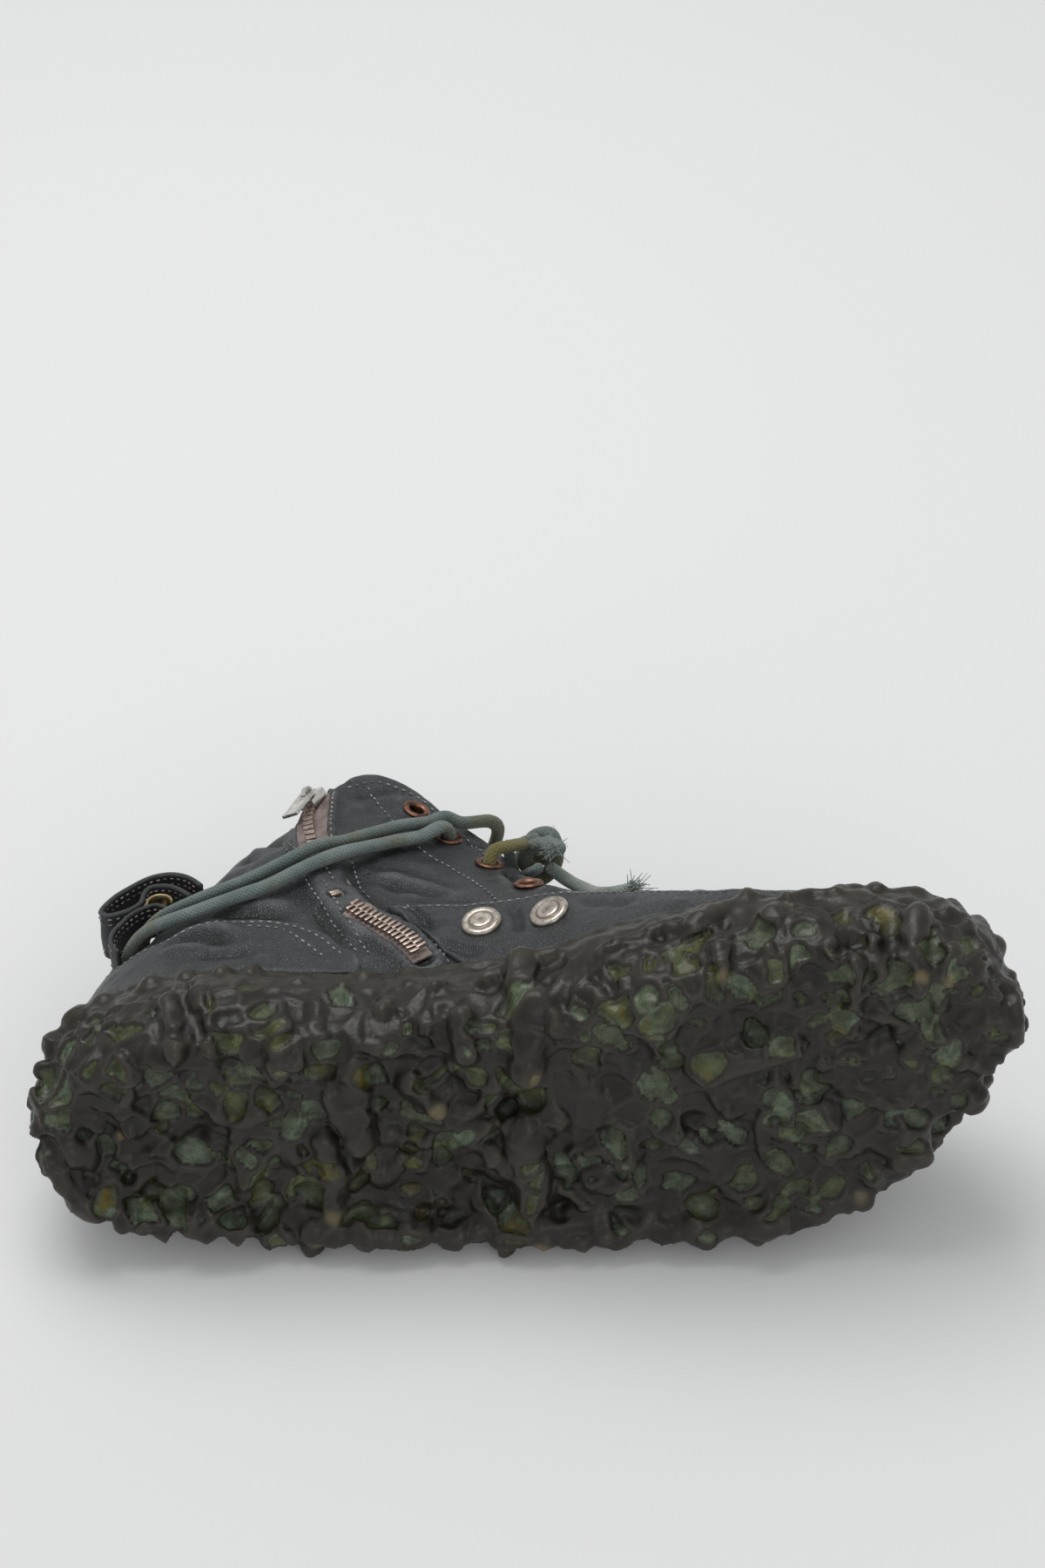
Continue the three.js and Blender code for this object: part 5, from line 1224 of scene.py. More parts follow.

# %% [markdown]
# ## The leather, its creases
# Soft hide folds where the foot bends and where the zip pulls it. Each crease here is placed along a
# line on the leather: a trough or a ridge, so wide and so deep. Gentle wrinkles from noise lie
# between them. Every piece on the leather asks the same function, so panels, stitches and snaps
# follow the creases beneath them.

# %% Creases placed one by one
CREASES = [   # line in (q, t), half width in mm, height in mm (below zero: a trough)
    ([(2.90, .22), (3.38, .225), (3.88, .21), (4.35, .17)], 2.6, -1.5),      # the heel's long fold
    ([(2.95, .26), (3.45, .265), (3.95, .25), (4.45, .21)], 2.8, 0.9),
    ([(2.95, .18), (3.40, .185), (3.90, .17)], 2.6, 0.7),
    ([(3.60, .14), (4.20, .12), (4.80, .13)], 2.4, -0.8),
    ([(1.90, .66), (2.50, .68), (3.10, .70), (3.55, .74)], 16, 0.9),         # the shaft's full back
    ([(2.20, .84), (2.90, .80), (3.50, .75)], 2.4, -0.8),
    ([(2.25, .79), (2.95, .75), (3.55, .70)], 2.2, 0.6),
    ([(2.40, .72), (2.90, .69), (3.40, .67)], 2.0, -0.6),
    ([(2.20, .60), (2.80, .62), (3.30, .60)], 2.4, -0.5),
    ([(3.44, .37), (4.44, .33), (5.06, .31)], 2.6, -1.0),
    ([(3.50, .42), (4.40, .385), (5.00, .36)], 2.6, 0.6),
    ([(4.05, .60), (4.45, .57), (4.85, .55)], 2.2, -0.5),
    ([(4.42, .97), (4.56, .90), (4.86, .74), (5.02, .65)], 1.5, 1.3),        # raised edge by the zip
    ([(4.30, .99), (4.44, .90), (4.75, .72), (4.90, .65)], 1.1, -1.0),
    ([(5.72, .47), (5.95, .40), (6.30, .345)], 2.0, 1.1),                    # lips of the lower zip
    ([(6.55, .335), (6.85, .25), (7.08, .16)], 1.8, 1.3),
    ([(5.40, .40), (5.62, .335), (5.95, .245), (6.25, .18)], 2.2, 1.2),
    ([(6.75, .37), (7.05, .30), (7.25, .20)], 1.6, -0.9),
    ([(5.20, .36), (5.45, .30), (5.70, .22), (5.95, .14)], 1.8, -0.8),
    ([(6.19, .50), (6.88, .47), (7.75, .44)], 2.8, -0.9),                    # between zip and stay
    ([(6.10, .54), (6.88, .515), (7.65, .485)], 2.8, 0.6),
    ([(6.31, .59), (7.25, .55), (8.12, .47)], 2.4, -0.5),
    ([(6.60, .42), (7.40, .405), (8.20, .40)], 2.0, -0.6),
    ([(9.22, .88), (9.28, .72), (9.25, .56)], 2.0, -1.6),                    # the stay's deep folds
    ([(9.02, .66), (9.06, .56), (9.00, .47)], 2.2, 0.7),
    ([(9.62, .76), (9.70, .62), (9.60, .50)], 2.0, 0.8),
    ([(9.95, .95), (9.98, .80), (9.95, .62)], 2.0, -1.4),
    ([(8.38, .87), (8.75, .91), (9.06, .94)], 2.0, -0.7),
    ([(5.00, .91), (5.81, .92), (6.60, .96)], 2.0, -0.6),                    # the collar
    ([(6.38, .90), (6.90, .94), (7.45, .97)], 1.8, 0.5),
    ([(5.10, .84), (5.60, .83), (6.10, .85)], 2.4, -0.5),
    ([(6.44, .29), (6.94, .27), (7.56, .24)], 2.6, -0.8),                    # the flap
    ([(7.25, .17), (7.69, .12), (8.12, .08)], 2.4, -0.9),
    ([(8.74, .34), (8.80, .25), (8.78, .15)], 2.4, -1.0),
    ([(9.81, .31), (10.25, .22), (10.62, .19)], 2.6, -1.0),
    ([(10.6, .40), (10.9, .52), (11.1, .70)], 3.0, -1.2),                    # the vamp
    ([(11.6, .35), (11.7, .52), (11.8, .74)], 3.0, 0.9),
    ([(12.4, .30), (12.5, .50), (12.6, .72)], 3.0, -1.1),
    ([(-10.2, .30), (-10.0, .50), (-9.8, .72)], 3.0, -1.1),                  # the lateral side
    ([(-9.2, .30), (-9.0, .50), (-8.8, .72)], 3.0, -1.2),
    ([(-3.6, .60), (-2.8, .62), (-2.0, .60)], 2.6, -0.9),
    ([(-5.0, .62), (-4.4, .66), (-3.6, .68)], 2.4, -0.7),
    ([(-1.4, .66), (-0.4, .68), (0.8, .66)], 2.4, -0.9),                     # the heel's back
    ([(-1.2, .36), (0.0, .37), (1.4, .35)], 2.4, -0.8),
    ([(-1.0, .78), (0.2, .80), (1.2, .78)], 2.2, -0.6),
]

FOLD_SHARE = 1.7


def crease_lines():
    lines = []
    for line, width, height in CREASES:
        path = smooth_path(line, count=26)
        lines.append((skin(path[:, 0], path[:, 1]), width * MM, height * MM))
    return lines


CREASE_LINES = crease_lines()
CALM = [((7.12, 0.90), 7), ((8.06, 0.85), 7), ((8.90, 0.75), 7), ((9.45, 0.58), 7), ((8.12, 0.235), 9),
        ((9.38, 0.235), 9), ((-5.12, 0.90), 7), ((-6.40, 0.84), 7), ((-7.05, 0.75), 7), ((-7.65, 0.64), 7)]
CALM_SPOTS = [(skin(q, t), radius * MM) for (q, t), radius in CALM]   # the leather is flat round metal


def folds(points, t):
    """Height of the creases and wrinkles over the plain leather."""
    points = np.asarray(points)
    flat = points.reshape(-1, 3)
    total = np.zeros(len(flat))
    for line, width, height in CREASE_LINES:
        near = np.all((flat > line.min(0) - 3 * width) & (flat < line.max(0) + 3 * width), axis=1)
        if not near.any():
            continue
        spots = flat[near]
        a, b = line[:-1], line[1:]
        step = b - a
        share = np.clip(((spots[:, None] - a) * step).sum(-1) / (step * step).sum(-1), 0, 1)
        far = np.linalg.norm(spots[:, None] - (a + share[..., None] * step), axis=-1)
        nearest = far.min(1)
        along = (far.argmin(1) + share[np.arange(len(spots)), far.argmin(1)]) / len(step)
        fade = np.clip(np.minimum(along, 1 - along) / 0.25, 0.06, 1)
        total[near] += FOLD_SHARE * height * fade * bell(nearest, width)
    stretched = flat * np.array([0.62, 1.0, 1.0])
    small = haze(stretched, 7.5 * MM, 41) + 0.5 * haze(stretched, 3.4 * MM, 42)
    tiny = haze(flat, 1.7 * MM, 43)
    total += 0.52 * MM * small + 0.08 * MM * tiny + 0.6 * MM * haze(flat, 24 * MM, 44)
    near = np.all((flat > zip_skin.min(0) - 12 * MM) & (flat < zip_skin.max(0) + 12 * MM), axis=1)
    if near.any():
        line = zip_skin[::6]
        a, step = line[:-1], np.diff(line, axis=0)
        spots = flat[near]
        share = np.clip(((spots[:, None] - a) * step).sum(-1) / (step * step).sum(-1), 0, 1)
        far = np.linalg.norm(spots[:, None] - (a + share[..., None] * step), axis=-1)
        at = (far.argmin(1) + share[np.arange(len(spots)), far.argmin(1)]) * 6
        at = np.interp(at, np.arange(len(zip_reach)), zip_reach / ZIP_LENGTH)
        far = far.min(1)
        cover = step_between(at, COVER_FROM - 0.02, COVER_FROM + 0.02)
        cover *= 1 - step_between(at, COVER_TO - 0.03, COVER_TO + 0.01)
        cover *= 1 - 0.95 * bell(at, PEEP, PEEP_AT, 4) * bell(far, PEEP_HALF, power=4)
        lips = step_between(at, COVER_TO - 0.02, COVER_TO + 0.06)
        upper_lip = 1 - step_between(at, COVER_FROM - 0.02, COVER_FROM + 0.02)
        total[near] *= 1 - 0.9 * bell(far, 5 * MM, power=4)
        total[near] += COVER_HIGH * cover * bell(far, COVER_HALF, power=4)
        total[near] += LIP_HIGH * lips * bell(far, LIP_HALF, LIP_AWAY)
        total[near] += 1.3 * MM * upper_lip * bell(far, 1.3 * MM, 5.8 * MM)
    for spot, radius in CALM_SPOTS:
        total *= step_between(np.linalg.norm(flat - spot, axis=1), 0.7 * radius, 1.35 * radius)
    return total.reshape(points.shape[:-1]) * step_between(t, -0.1, 0.06)


def leather(q, t, lift=0.0):
    q, t = np.broadcast_arrays(np.asarray(q, float), np.asarray(t, float))
    base = skin(q, t)
    height = folds(base, t)
    height = np.where(base[..., 2] < 3 * MM, np.minimum(height, 0), height)
    return base + skin_out(q, t) * (height + lift)[..., None]


# %% [markdown]
# ## The upper
# The wall is one closed sheet: up the outer face, over a rounded top edge, down the inner face.
# The bores of the eight eyelets are cut by one Boolean modifier.

# %% Upper
MEDIAL_EYELETS = [(7.12, 0.90), (8.06, 0.85), (8.90, 0.75), (9.45, 0.58)]
LATERAL_EYELETS = [(-5.12, 0.90), (-6.40, 0.84), (-7.05, 0.75), (-7.65, 0.64)]
LATERAL_LIFT = 0.5 * MM
EYELET_BORE = 2.6 * MM


def upper_rows():
    q = np.linspace(0, RIB_COUNT, 391)
    q[-1] = 0
    outer_t = np.concatenate([np.linspace(-1, 0, 5)[:-1], np.linspace(0, 1, 104)])
    inner_t = np.concatenate([np.linspace(1, 0, 26), np.linspace(0, -1, 4)[1:]])
    rows = [leather(q, np.full_like(q, t)) for t in outer_t]
    climb = unit(rows[-1] - rows[-3])
    out = skin_out(q, np.ones_like(q))
    half = LEATHER / 2
    for turn in np.radians([30, 60, 90, 120, 150]):
        rows.append(rows[len(outer_t) - 1] + out * (half * math.cos(turn) - half)
                    + climb * half * math.sin(turn))
    rows += [leather(q, np.full_like(q, t), -LEATHER) for t in inner_t]
    return np.array(rows)


upper = from_rows("leather_upper", [*(rows := upper_rows()), rows[0]])
cutter = bmesh.new()
for k, (q, t) in enumerate(MEDIAL_EYELETS + LATERAL_EYELETS):
    at = seat(q, t, LATERAL_LIFT if k >= 4 else 0)
    bmesh.ops.create_cone(cutter, cap_ends=True, segments=24, radius1=EYELET_BORE + 0.8 * MM,
                          radius2=EYELET_BORE + 0.8 * MM, depth=12 * MM, matrix=at)
cutter = to_object("bores", cutter)
bores = upper.modifiers.new("bores", "BOOLEAN")
bores.operation = "DIFFERENCE"
bores.solver = "MANIFOLD"
bores.object = cutter
cut = bpy.data.meshes.new_from_object(upper.evaluated_get(bpy.context.evaluated_depsgraph_get()))
upper.modifiers.clear()
upper.data = cut
bpy.data.objects.remove(cutter)
cut.shade_smooth()
cut.set_sharp_from_angle(angle=math.radians(50))
set_mask(cut, "raised", raised_mask(cut, 24, 0.75 * MM))
dress(upper, hide, "leather", "upper")

# %% [markdown]
# ## Panels
# The lower flap with the snaps and the panel round the heel lie on the upper. Their edges are
# rolled: the sheet's rows run down over a rounded edge to the leather below.

# %% Flap, heel panel, insole and tongue
FLAP_TOP = [(6.45, 0.365), (7.0, 0.362), (8.4, 0.37), (9.7, 0.41), (10.4, 0.36), (11.0, 0.28), (11.6, 0.17),
            (12.0, 0.08)]
FLAP_BACK = 7.78
COUNTER_TOP = [(-3.6, 0.08), (-3.2, 0.17), (-2.4, 0.25), (-1, 0.285), (0, 0.29), (1.5, 0.285), (3.1, 0.28),
               (4.1, 0.29), (5.1, 0.265), (5.6, 0.21), (6.0, 0.13), (6.15, 0.08)]
PANEL_FOOT = 0.03


def panel_rows(top, foot_start, columns, climb):
    """Outer face, rolled edges and under face of a panel, as rows over (q, t)."""
    share = np.linspace(0, 1, columns)
    q_top = top[0][0] + share * (top[-1][0] - top[0][0])
    q_foot = foot_start + share * (top[-1][0] - foot_start)
    head = np.interp(q_top, [q for q, _ in top], [t for _, t in top])
    up = np.linspace(0, 1, climb)
    q = q_foot + (q_top - q_foot) * up[:, None]
    t = PANEL_FOOT + (head - PANEL_FOOT) * up[:, None]
    thick = LEATHER
    edge = np.minimum(np.minimum(up[:, None], 1 - up[:, None]) * climb,
                      np.minimum(share, 1 - share) * columns)
    roll = np.sqrt(np.clip(edge / 3.0, 0, 1) * (2 - np.clip(edge / 3.0, 0, 1)))
    outer = leather(q, t, CLEAR + thick * (0.12 + 0.88 * roll))
    under = leather(q, t, CLEAR * 0.5)
    return outer, under


def closed_sheet(name, outer, under, material, slot, node, mask_height=0.75 * MM):
    rows = np.concatenate([outer, under[::-1], outer[:1]])
    piece = from_rows(name, rows)
    bm = bmesh.new()
    bm.from_mesh(piece.data)
    border = [edge for edge in bm.edges if edge.is_boundary]
    bmesh.ops.holes_fill(bm, edges=border, sides=0)
    bmesh.ops.triangulate(bm, faces=[face for face in bm.faces if len(face.verts) > 4])
    bmesh.ops.recalc_face_normals(bm, faces=bm.faces[:])
    bm.to_mesh(piece.data)
    bm.free()
    piece.data.shade_smooth()
    piece.data.set_sharp_from_angle(angle=math.radians(60))
    set_mask(piece.data, "raised", raised_mask(piece.data, 20, mask_height))
    return dress(piece, material, slot, node)


flap = closed_sheet("stitched_flap", *panel_rows(FLAP_TOP, FLAP_BACK, 210, 70), hide, "leather",
                    "quarter_flap")
counter = closed_sheet("heel_panel", *panel_rows(COUNTER_TOP, COUNTER_TOP[0][0], 300, 44), hide, "leather",
                       "heel_counter")

q = np.linspace(0, RIB_COUNT, 181)
q[-1] = 0


def bed_row(inset, middle, above):
    point, _ = outline(q, np.full_like(q, inset), np.full_like(q, middle))
    return place(point[:, 0], point[:, 1], BED_HEIGHT + above + toe_rise(point[:, 0]))


bed_inset = RIM_WALL + GAP + LEATHER + INSOLE_EDGE
top_face = [bed_row(bed_inset, m, INSOLE_SEAT + INSOLE) for m in (0.02, 0.2, 0.5, 0.8, 1.0)]
low_face = [bed_row(bed_inset, m, INSOLE_SEAT) for m in (1.0, 0.5, 0.0)]
inner_sole = from_rows("inner_sole", [*low_face, bed_row(bed_inset, 0, INSOLE_SEAT + 0.8 * INSOLE),
    *top_face],
                       angle=50)

TONGUE_TUCK = 0.17
TONGUE_DEPTH = LEATHER + 0.9 * MM
TONGUE_CROWN = 3 * MM
TONGUE_RISE = 8 * MM


def tongue_row(share, lift):
    inner = 15.4 + share * (7.3 - 15.4)
    far = 16.6 + share * (24.7 - 16.6)
    tuck = TONGUE_TUCK * min(max(0.5 + share, 0), 1)
    sides = [over(np.full(9, rib), np.linspace(1 - tuck, 1, 9), np.full(9, lift)) for rib in (inner, far)]
    a, b = sides[0][-1], sides[1][-1]
    out = unit(skin_out(inner, 1) + skin_out(far, 1))
    crown = TONGUE_CROWN * min(max(share * 3, 0), 1)
    across = np.linspace(0, 1, 26)[1:-1, None]
    bridge = a + (b - a) * across + out * crown * np.sin(math.pi * across)
    ripple = 0.5 * MM * np.sin(across * 19 + share * 31) * np.sin(math.pi * across)
    return np.concatenate([sides[0], bridge + out * ripple, sides[1][::-1]])


def tongue_faces():
    faces = []
    for lift in (-TONGUE_DEPTH, -TONGUE_DEPTH - LEATHER):
        rows = [tongue_row(share, lift) for share in np.linspace(0, 1, 70)]
        ahead = unit(rows[-1] - rows[-2])
        rows += [rows[-1] + ahead * TONGUE_RISE * k / 6 for k in range(1, 7)]
        faces.append(np.array(rows))
    return faces


tongue = closed_sheet("soft_tongue", *tongue_faces(), hide, "leather", "tongue")
lining = new_material("worn_lining", 0.85)[0]
lining.node_tree.nodes["Principled BSDF"].inputs["Base Color"].default_value = (0.10, 0.094, 0.083, 1)
dress(inner_sole, lining, "lining", "insole")

# %% [markdown]
# ## Stitches
# A row of stitches is one small pill repeated along a line on the leather, joined into one mesh.
# Thread on the upper is grey; by the zip and on the straps it is a warmer, pinkish white.

# %% Stitch rows
STITCH_ROWS = [   # line in (q, t), lift over the upper in mm
    ([(5.50, .965), (5.88, .895), (6.50, .80), (7.12, .715), (8.12, .60), (8.50, .48), (8.62, .39)], 0.1),
    ([(7.46, .975), (7.75, .965), (8.12, .945), (8.62, .905), (8.94, .83)], 0.1),
    ([(4.72, .965), (4.94, .963), (5.50, .967), (6.0, .97), (6.81, .972), (7.40, .972)], 0.1),
    ([(3.30, .79), (3.85, .70), (4.45, .60)], 0.1),
    ([(4.66, .545), (5.10, .43), (5.42, .345), (5.78, .235), (6.10, .14)], 0.1),
    ([(5.22, .47), (5.55, .37), (5.92, .255), (6.26, .13)], 0.1),
    ([(3.62, .76), (4.10, .69), (4.60, .60)], 0.1),
    ([(6.60, .40), (6.84, .30), (7.22, .17), (7.46, .08)], 0.1),
    ([(6.76, .395), (7.02, .30), (7.40, .18), (7.64, .10)], 0.1),
    ([(5.62, .60), (5.78, .53), (5.98, .45), (6.20, .41)], 0.1),
    ([(-5.3, .972), (-4.5, .972), (-3.6, .972), (-2.6, .972), (-1.6, .972), (-0.8, .972)], 0.1),
    ([(0.9, .972), (1.6, .972), (2.4, .972), (3.2, .972)], 0.1),
    ([(-5.6, .97), (-6.2, .95), (-6.8, .93), (-7.4, .90), (-8.0, .86)], 0.1),
    ([(-4.2, .95), (-4.8, .80), (-5.9, .68), (-7.2, .55), (-8.3, .42)], 0.1),
]
PANEL_STITCHES = [
    ([(6.62, .345), (7.0, .343), (8.4, .350), (9.7, .388), (10.35, .34), (10.9, .262), (11.5, .155)], 2.2),
    ([(-3.1, .145), (-2.4, .225), (-1, .262), (0, .267), (1.5, .262), (3.1, .257), (4.1, .266), (5.05, .242),
      (5.5, .19), (5.85, .12)], 2.2),
    ([(4.3, .245), (4.9, .225), (5.30, .165), (5.6, .11)], 2.2),
]
WARM_STITCHES = [
    ([(4.52, .96), (4.66, .88), (4.96, .72), (5.12, .65)], 0.6),
    ([(4.98, .575), (5.28, .50), (5.50, .44)], 0.3),
]
STITCH_PITCH = 2.9 * MM
STITCH_LENGTH = 1.9 * MM
THREAD = 0.30 * MM


def add_stitches(bm, path, out, length=STITCH_LENGTH, thread=THREAD, seed=3):
    """Pills along a path of evenly spaced places, one a place."""
    dice = random.Random(seed)
    run = unit(np.gradient(path, axis=0))
    for spot, ahead, up in zip(path, run, out):
        side = np.cross(up, ahead)
        ahead = unit(ahead + side * dice.uniform(-0.12, 0.12))
        turn = Matrix(np.stack([ahead, unit(np.cross(up, ahead)), up], 1).tolist()).to_4x4()
        size = Matrix.Diagonal((length / 2 / thread * dice.uniform(0.85, 1.08), 1.15, 0.8, 1))
        bmesh.ops.create_icosphere(bm, subdivisions=1, radius=thread,
            matrix=Matrix.Translation(spot) @ turn @ size)


def stitch_rows(name, rows, material):
    bm = bmesh.new()
    for k, (line, lift) in enumerate(rows):
        path = smooth_path(line, count=400)
        spots = leather(path[:, 0], path[:, 1], lift * MM + 0.1 * MM)
        reach = np.concatenate([[0], np.cumsum(np.linalg.norm(np.diff(spots, axis=0), axis=1))])
        at = np.arange(STITCH_PITCH, reach[-1], STITCH_PITCH)
        even = sampled(at, reach, spots)
        even[:, 2] = np.maximum(even[:, 2], 1.5 * THREAD)
        qt = sampled(at, reach, path)
        add_stitches(bm, even, skin_out(qt[:, 0], qt[:, 1]), seed=k)
    return dress(to_object(name, bm), material, "leather")


def thread_material(name, pale, dirty):
    material, tree, surface, spots = new_material(name, 0.75)
    soil = use_group(tree, CLOUDS, {"Place": spots, "Scale": 120.0, "Low": 0.4, "High": 0.62})
    tree.links.new(mix_colour(tree, soil, pale, dirty), surface.inputs["Base Color"])
    return material


grey_thread = thread_material("grey_thread", (0.36, 0.38, 0.38), (0.13, 0.14, 0.14))
warm_thread = thread_material("warm_thread", (0.44, 0.38, 0.36), (0.17, 0.13, 0.12))
stitch_rows("stitches_upper", STITCH_ROWS, grey_thread)
stitch_rows("stitches_panels", PANEL_STITCHES, grey_thread)
stitch_rows("stitches_zip", WARM_STITCHES, warm_thread)

# %% [markdown]
# ## Eyelets and snaps
# Turned metal: a profile is spun round the axis that stands on the leather. The copper is worn to
# bare metal on its raised rim; the snaps are nickel, mottled in the middle and bright at the edge.

# %% Metals, eyelets and snaps
def metal_material(name, bare, dull, roughness, dirt=0.5):
    material, tree, surface, spots = new_material(name, roughness, Metallic=1.0)
    soil = use_group(tree, CLOUDS, {"Place": spots, "Scale": 420.0, "Low": 0.42, "High": 0.66})
    scratch = use_group(tree, CLOUDS, {"Place": spots, "Scale": 1500.0, "Low": 0.35, "High": 0.75})
    sunk = ramp(tree, mask_of(tree, "raised"), 0.62, 0.3)
    share = add_node(tree, "ShaderNodeMath", {0: soil, 1: dirt}, operation="MULTIPLY")
    dark = add_node(tree, "ShaderNodeMath", {0: share.outputs[0], 1: sunk}, operation="MAXIMUM")
    tree.links.new(mix_colour(tree, dark.outputs[0], bare, dull), surface.inputs["Base Color"])
    tree.links.new(ramp(tree, scratch, 0, 1, roughness - 0.06, roughness + 0.14), surface.inputs["Roughness"])
    bump(tree, surface, scratch, 0.25, 0.00008)
    return material


copper = metal_material("worn_copper", (0.30, 0.155, 0.105), (0.060, 0.032, 0.024), 0.42, 0.95)
nickel = metal_material("worn_nickel", (0.66, 0.60, 0.52), (0.26, 0.22, 0.18), 0.30, 0.75)
bright = metal_material("bright_nickel", (0.80, 0.78, 0.74), (0.34, 0.32, 0.30), 0.22, 0.5)
rose = metal_material("rose_nickel", (0.62, 0.50, 0.43), (0.17, 0.13, 0.11), 0.30, 0.5)
brass = metal_material("aged_brass", (0.48, 0.38, 0.20), (0.15, 0.12, 0.07), 0.34, 0.6)

EYELET_PROFILE = [(2.6, -1.8), (3.35, -1.8), (3.4, 0.3), (4.85, 0.3), (5.0, 0.5), (4.92, 0.85), (4.6, 1.12),
                  (4.1, 1.22), (3.5, 1.16), (3.0, 0.95), (2.7, 0.55), (2.6, 0.1), (2.6, -1.8)]
SNAP_PROFILE = [(0, 2.05), (1.2, 2.12), (2.6, 2.2), (3.3, 2.14), (3.62, 1.95), (3.78, 1.68), (4.05, 1.62),
                (4.5, 1.74), (5.3, 1.86), (5.9, 1.72), (6.3, 1.38), (6.58, 0.9), (6.6, 0.4), (6.4, 0.02),
                (0, 0)]
SNAPS = [(8.12, 0.235), (9.38, 0.235)]
SNAP_TILT = math.radians(10)     # the soft flap lets them lean towards the tread


def mm_profile(profile):
    return [(r * MM, h * MM) for r, h in profile]


for side, places, lift in (("medial", MEDIAL_EYELETS, 0), ("lateral", LATERAL_EYELETS, LATERAL_LIFT)):
    for k, (q_at, t_at) in enumerate(places):
        ring_piece = spun(f"copper_ring_{side}_{k + 1}", mm_profile(EYELET_PROFILE), [seat(q_at, t_at, lift)])
        set_mask(ring_piece.data, "raised", raised_mask(ring_piece.data, 6, 0.3 * MM))
        dress(ring_piece, copper, "copper", f"eyelet_{side}_{k + 1}")
for k, (q_at, t_at) in enumerate(SNAPS):
    cap_at = seat(q_at, t_at, 2 * CLEAR + LEATHER + 0.2 * MM) @ Matrix.Rotation(SNAP_TILT, 4, "X")
    cap = spun(f"snap_{k + 1}", mm_profile(SNAP_PROFILE), [cap_at], steps=64)
    set_mask(cap.data, "raised", raised_mask(cap.data, 4, 0.15 * MM))
    dress(cap, nickel, "nickel", f"snap_cap_{k + 1}")

# %% [markdown]
# ## The zip
# The short zip runs from the collar down to the rubber. Above the laces only one column of teeth
# shows beside its tape; below, the chain is closed and bulges out between two lips of leather.

# %% Zip path, tape and teeth
def zip_frames(distances):
    """Place, run, side and out of the zip at distances along it."""
    qt = sampled(distances, zip_reach, zip_qt)
    spots = skin(qt[:, 0], qt[:, 1])
    out = skin_out(qt[:, 0], qt[:, 1])
    ahead = np.stack([np.interp(distances, zip_reach, np.gradient(zip_skin, axis=0)[:,
        k]) for k in range(3)], -1)
    ahead = unit(ahead - out * (ahead * out).sum(-1, keepdims=True))
    return spots, ahead, np.cross(out, ahead), out


def tape_piece():
    along = np.linspace(1 * MM, ZIP_LENGTH - 1 * MM, 240)
    spots, _, side, out = zip_frames(along)
    across = np.linspace(-TAPE_HALF, TAPE_HALF, 22)
    ripple = 0.25 * MM * haze(spots, 6 * MM, 51)[:, None] * (np.abs(across) / TAPE_HALF) ** 2
    cord_edge = 0.35 * MM * bell(np.abs(across), 0.5 * MM, 1.7 * MM)
    faces = []
    for high in (TAPE_LOW + TAPE, TAPE_LOW):
        lift = high + ripple + (cord_edge if high > TAPE_LOW else 0)
        faces.append(spots[:, None] + side[:, None] * across[:, None] + out[:, None] * lift[..., None])
    return closed_sheet("woven_tape", *faces, tape_cloth, "tape", "zip_tape")


def cloth_material(name, colour, dark, across, along, roughness=0.9):
    material, tree, surface, spots = new_material(name, roughness, Specular_IOR_Level=0.2)
    run = add_node(tree, "ShaderNodeUVMap", uv_map="run").outputs["UV"]
    weave = use_group(tree, WEAVE, {"Run": run, "Across": across, "Along": along})
    soil = use_group(tree, CLOUDS, {"Place": spots, "Scale": 130.0, "Low": 0.4, "High": 0.66})
    shade = mix_colour(tree, soil, colour, dark)
    # Painted shade: the low valleys of the weave are darkened towards 0.4 of the dark colour.
    tree.links.new(mix_colour(tree, ramp(tree, weave, 0, 0.5, 0.35, 0), shade, tuple(c * 0.4 for c in dark)),
                   surface.inputs["Base Color"])
    bump(tree, surface, weave, 0.5, 0.00025)
    return material


tape_cloth = cloth_material("tape_cloth", (0.30, 0.24, 0.22), (0.13, 0.105, 0.10), 26.0, 300.0)
tape_piece()


def bevelled_block(size, bevel):
    bm = bmesh.new()
    bmesh.ops.create_cube(bm, size=1, matrix=Matrix.Diagonal((*size, 1)))
    bmesh.ops.bevel(bm, geom=bm.edges[:], offset=bevel, segments=2, profile=0.6, affect="EDGES")
    return bm


def copies(name, parts, angle=40):
    """Many copies of small meshes in one: parts are pairs of a mesh and the frames that it stands in."""
    whole = bmesh.new()
    for shape, frames in parts:
        mesh = bpy.data.meshes.new("part")
        shape.to_mesh(mesh)
        shape.free()
        for at in frames:
            whole.from_mesh(mesh)
            whole.verts.ensure_lookup_table()
            bmesh.ops.transform(whole, matrix=at, verts=whole.verts[-len(mesh.vertices):])
        bpy.data.meshes.remove(mesh)
    piece = to_object(name, whole, angle)
    set_mask(piece.data, "raised", np.full(len(piece.data.vertices), 0.7))
    return piece


TOOTH_PITCH = 1.15 * MM


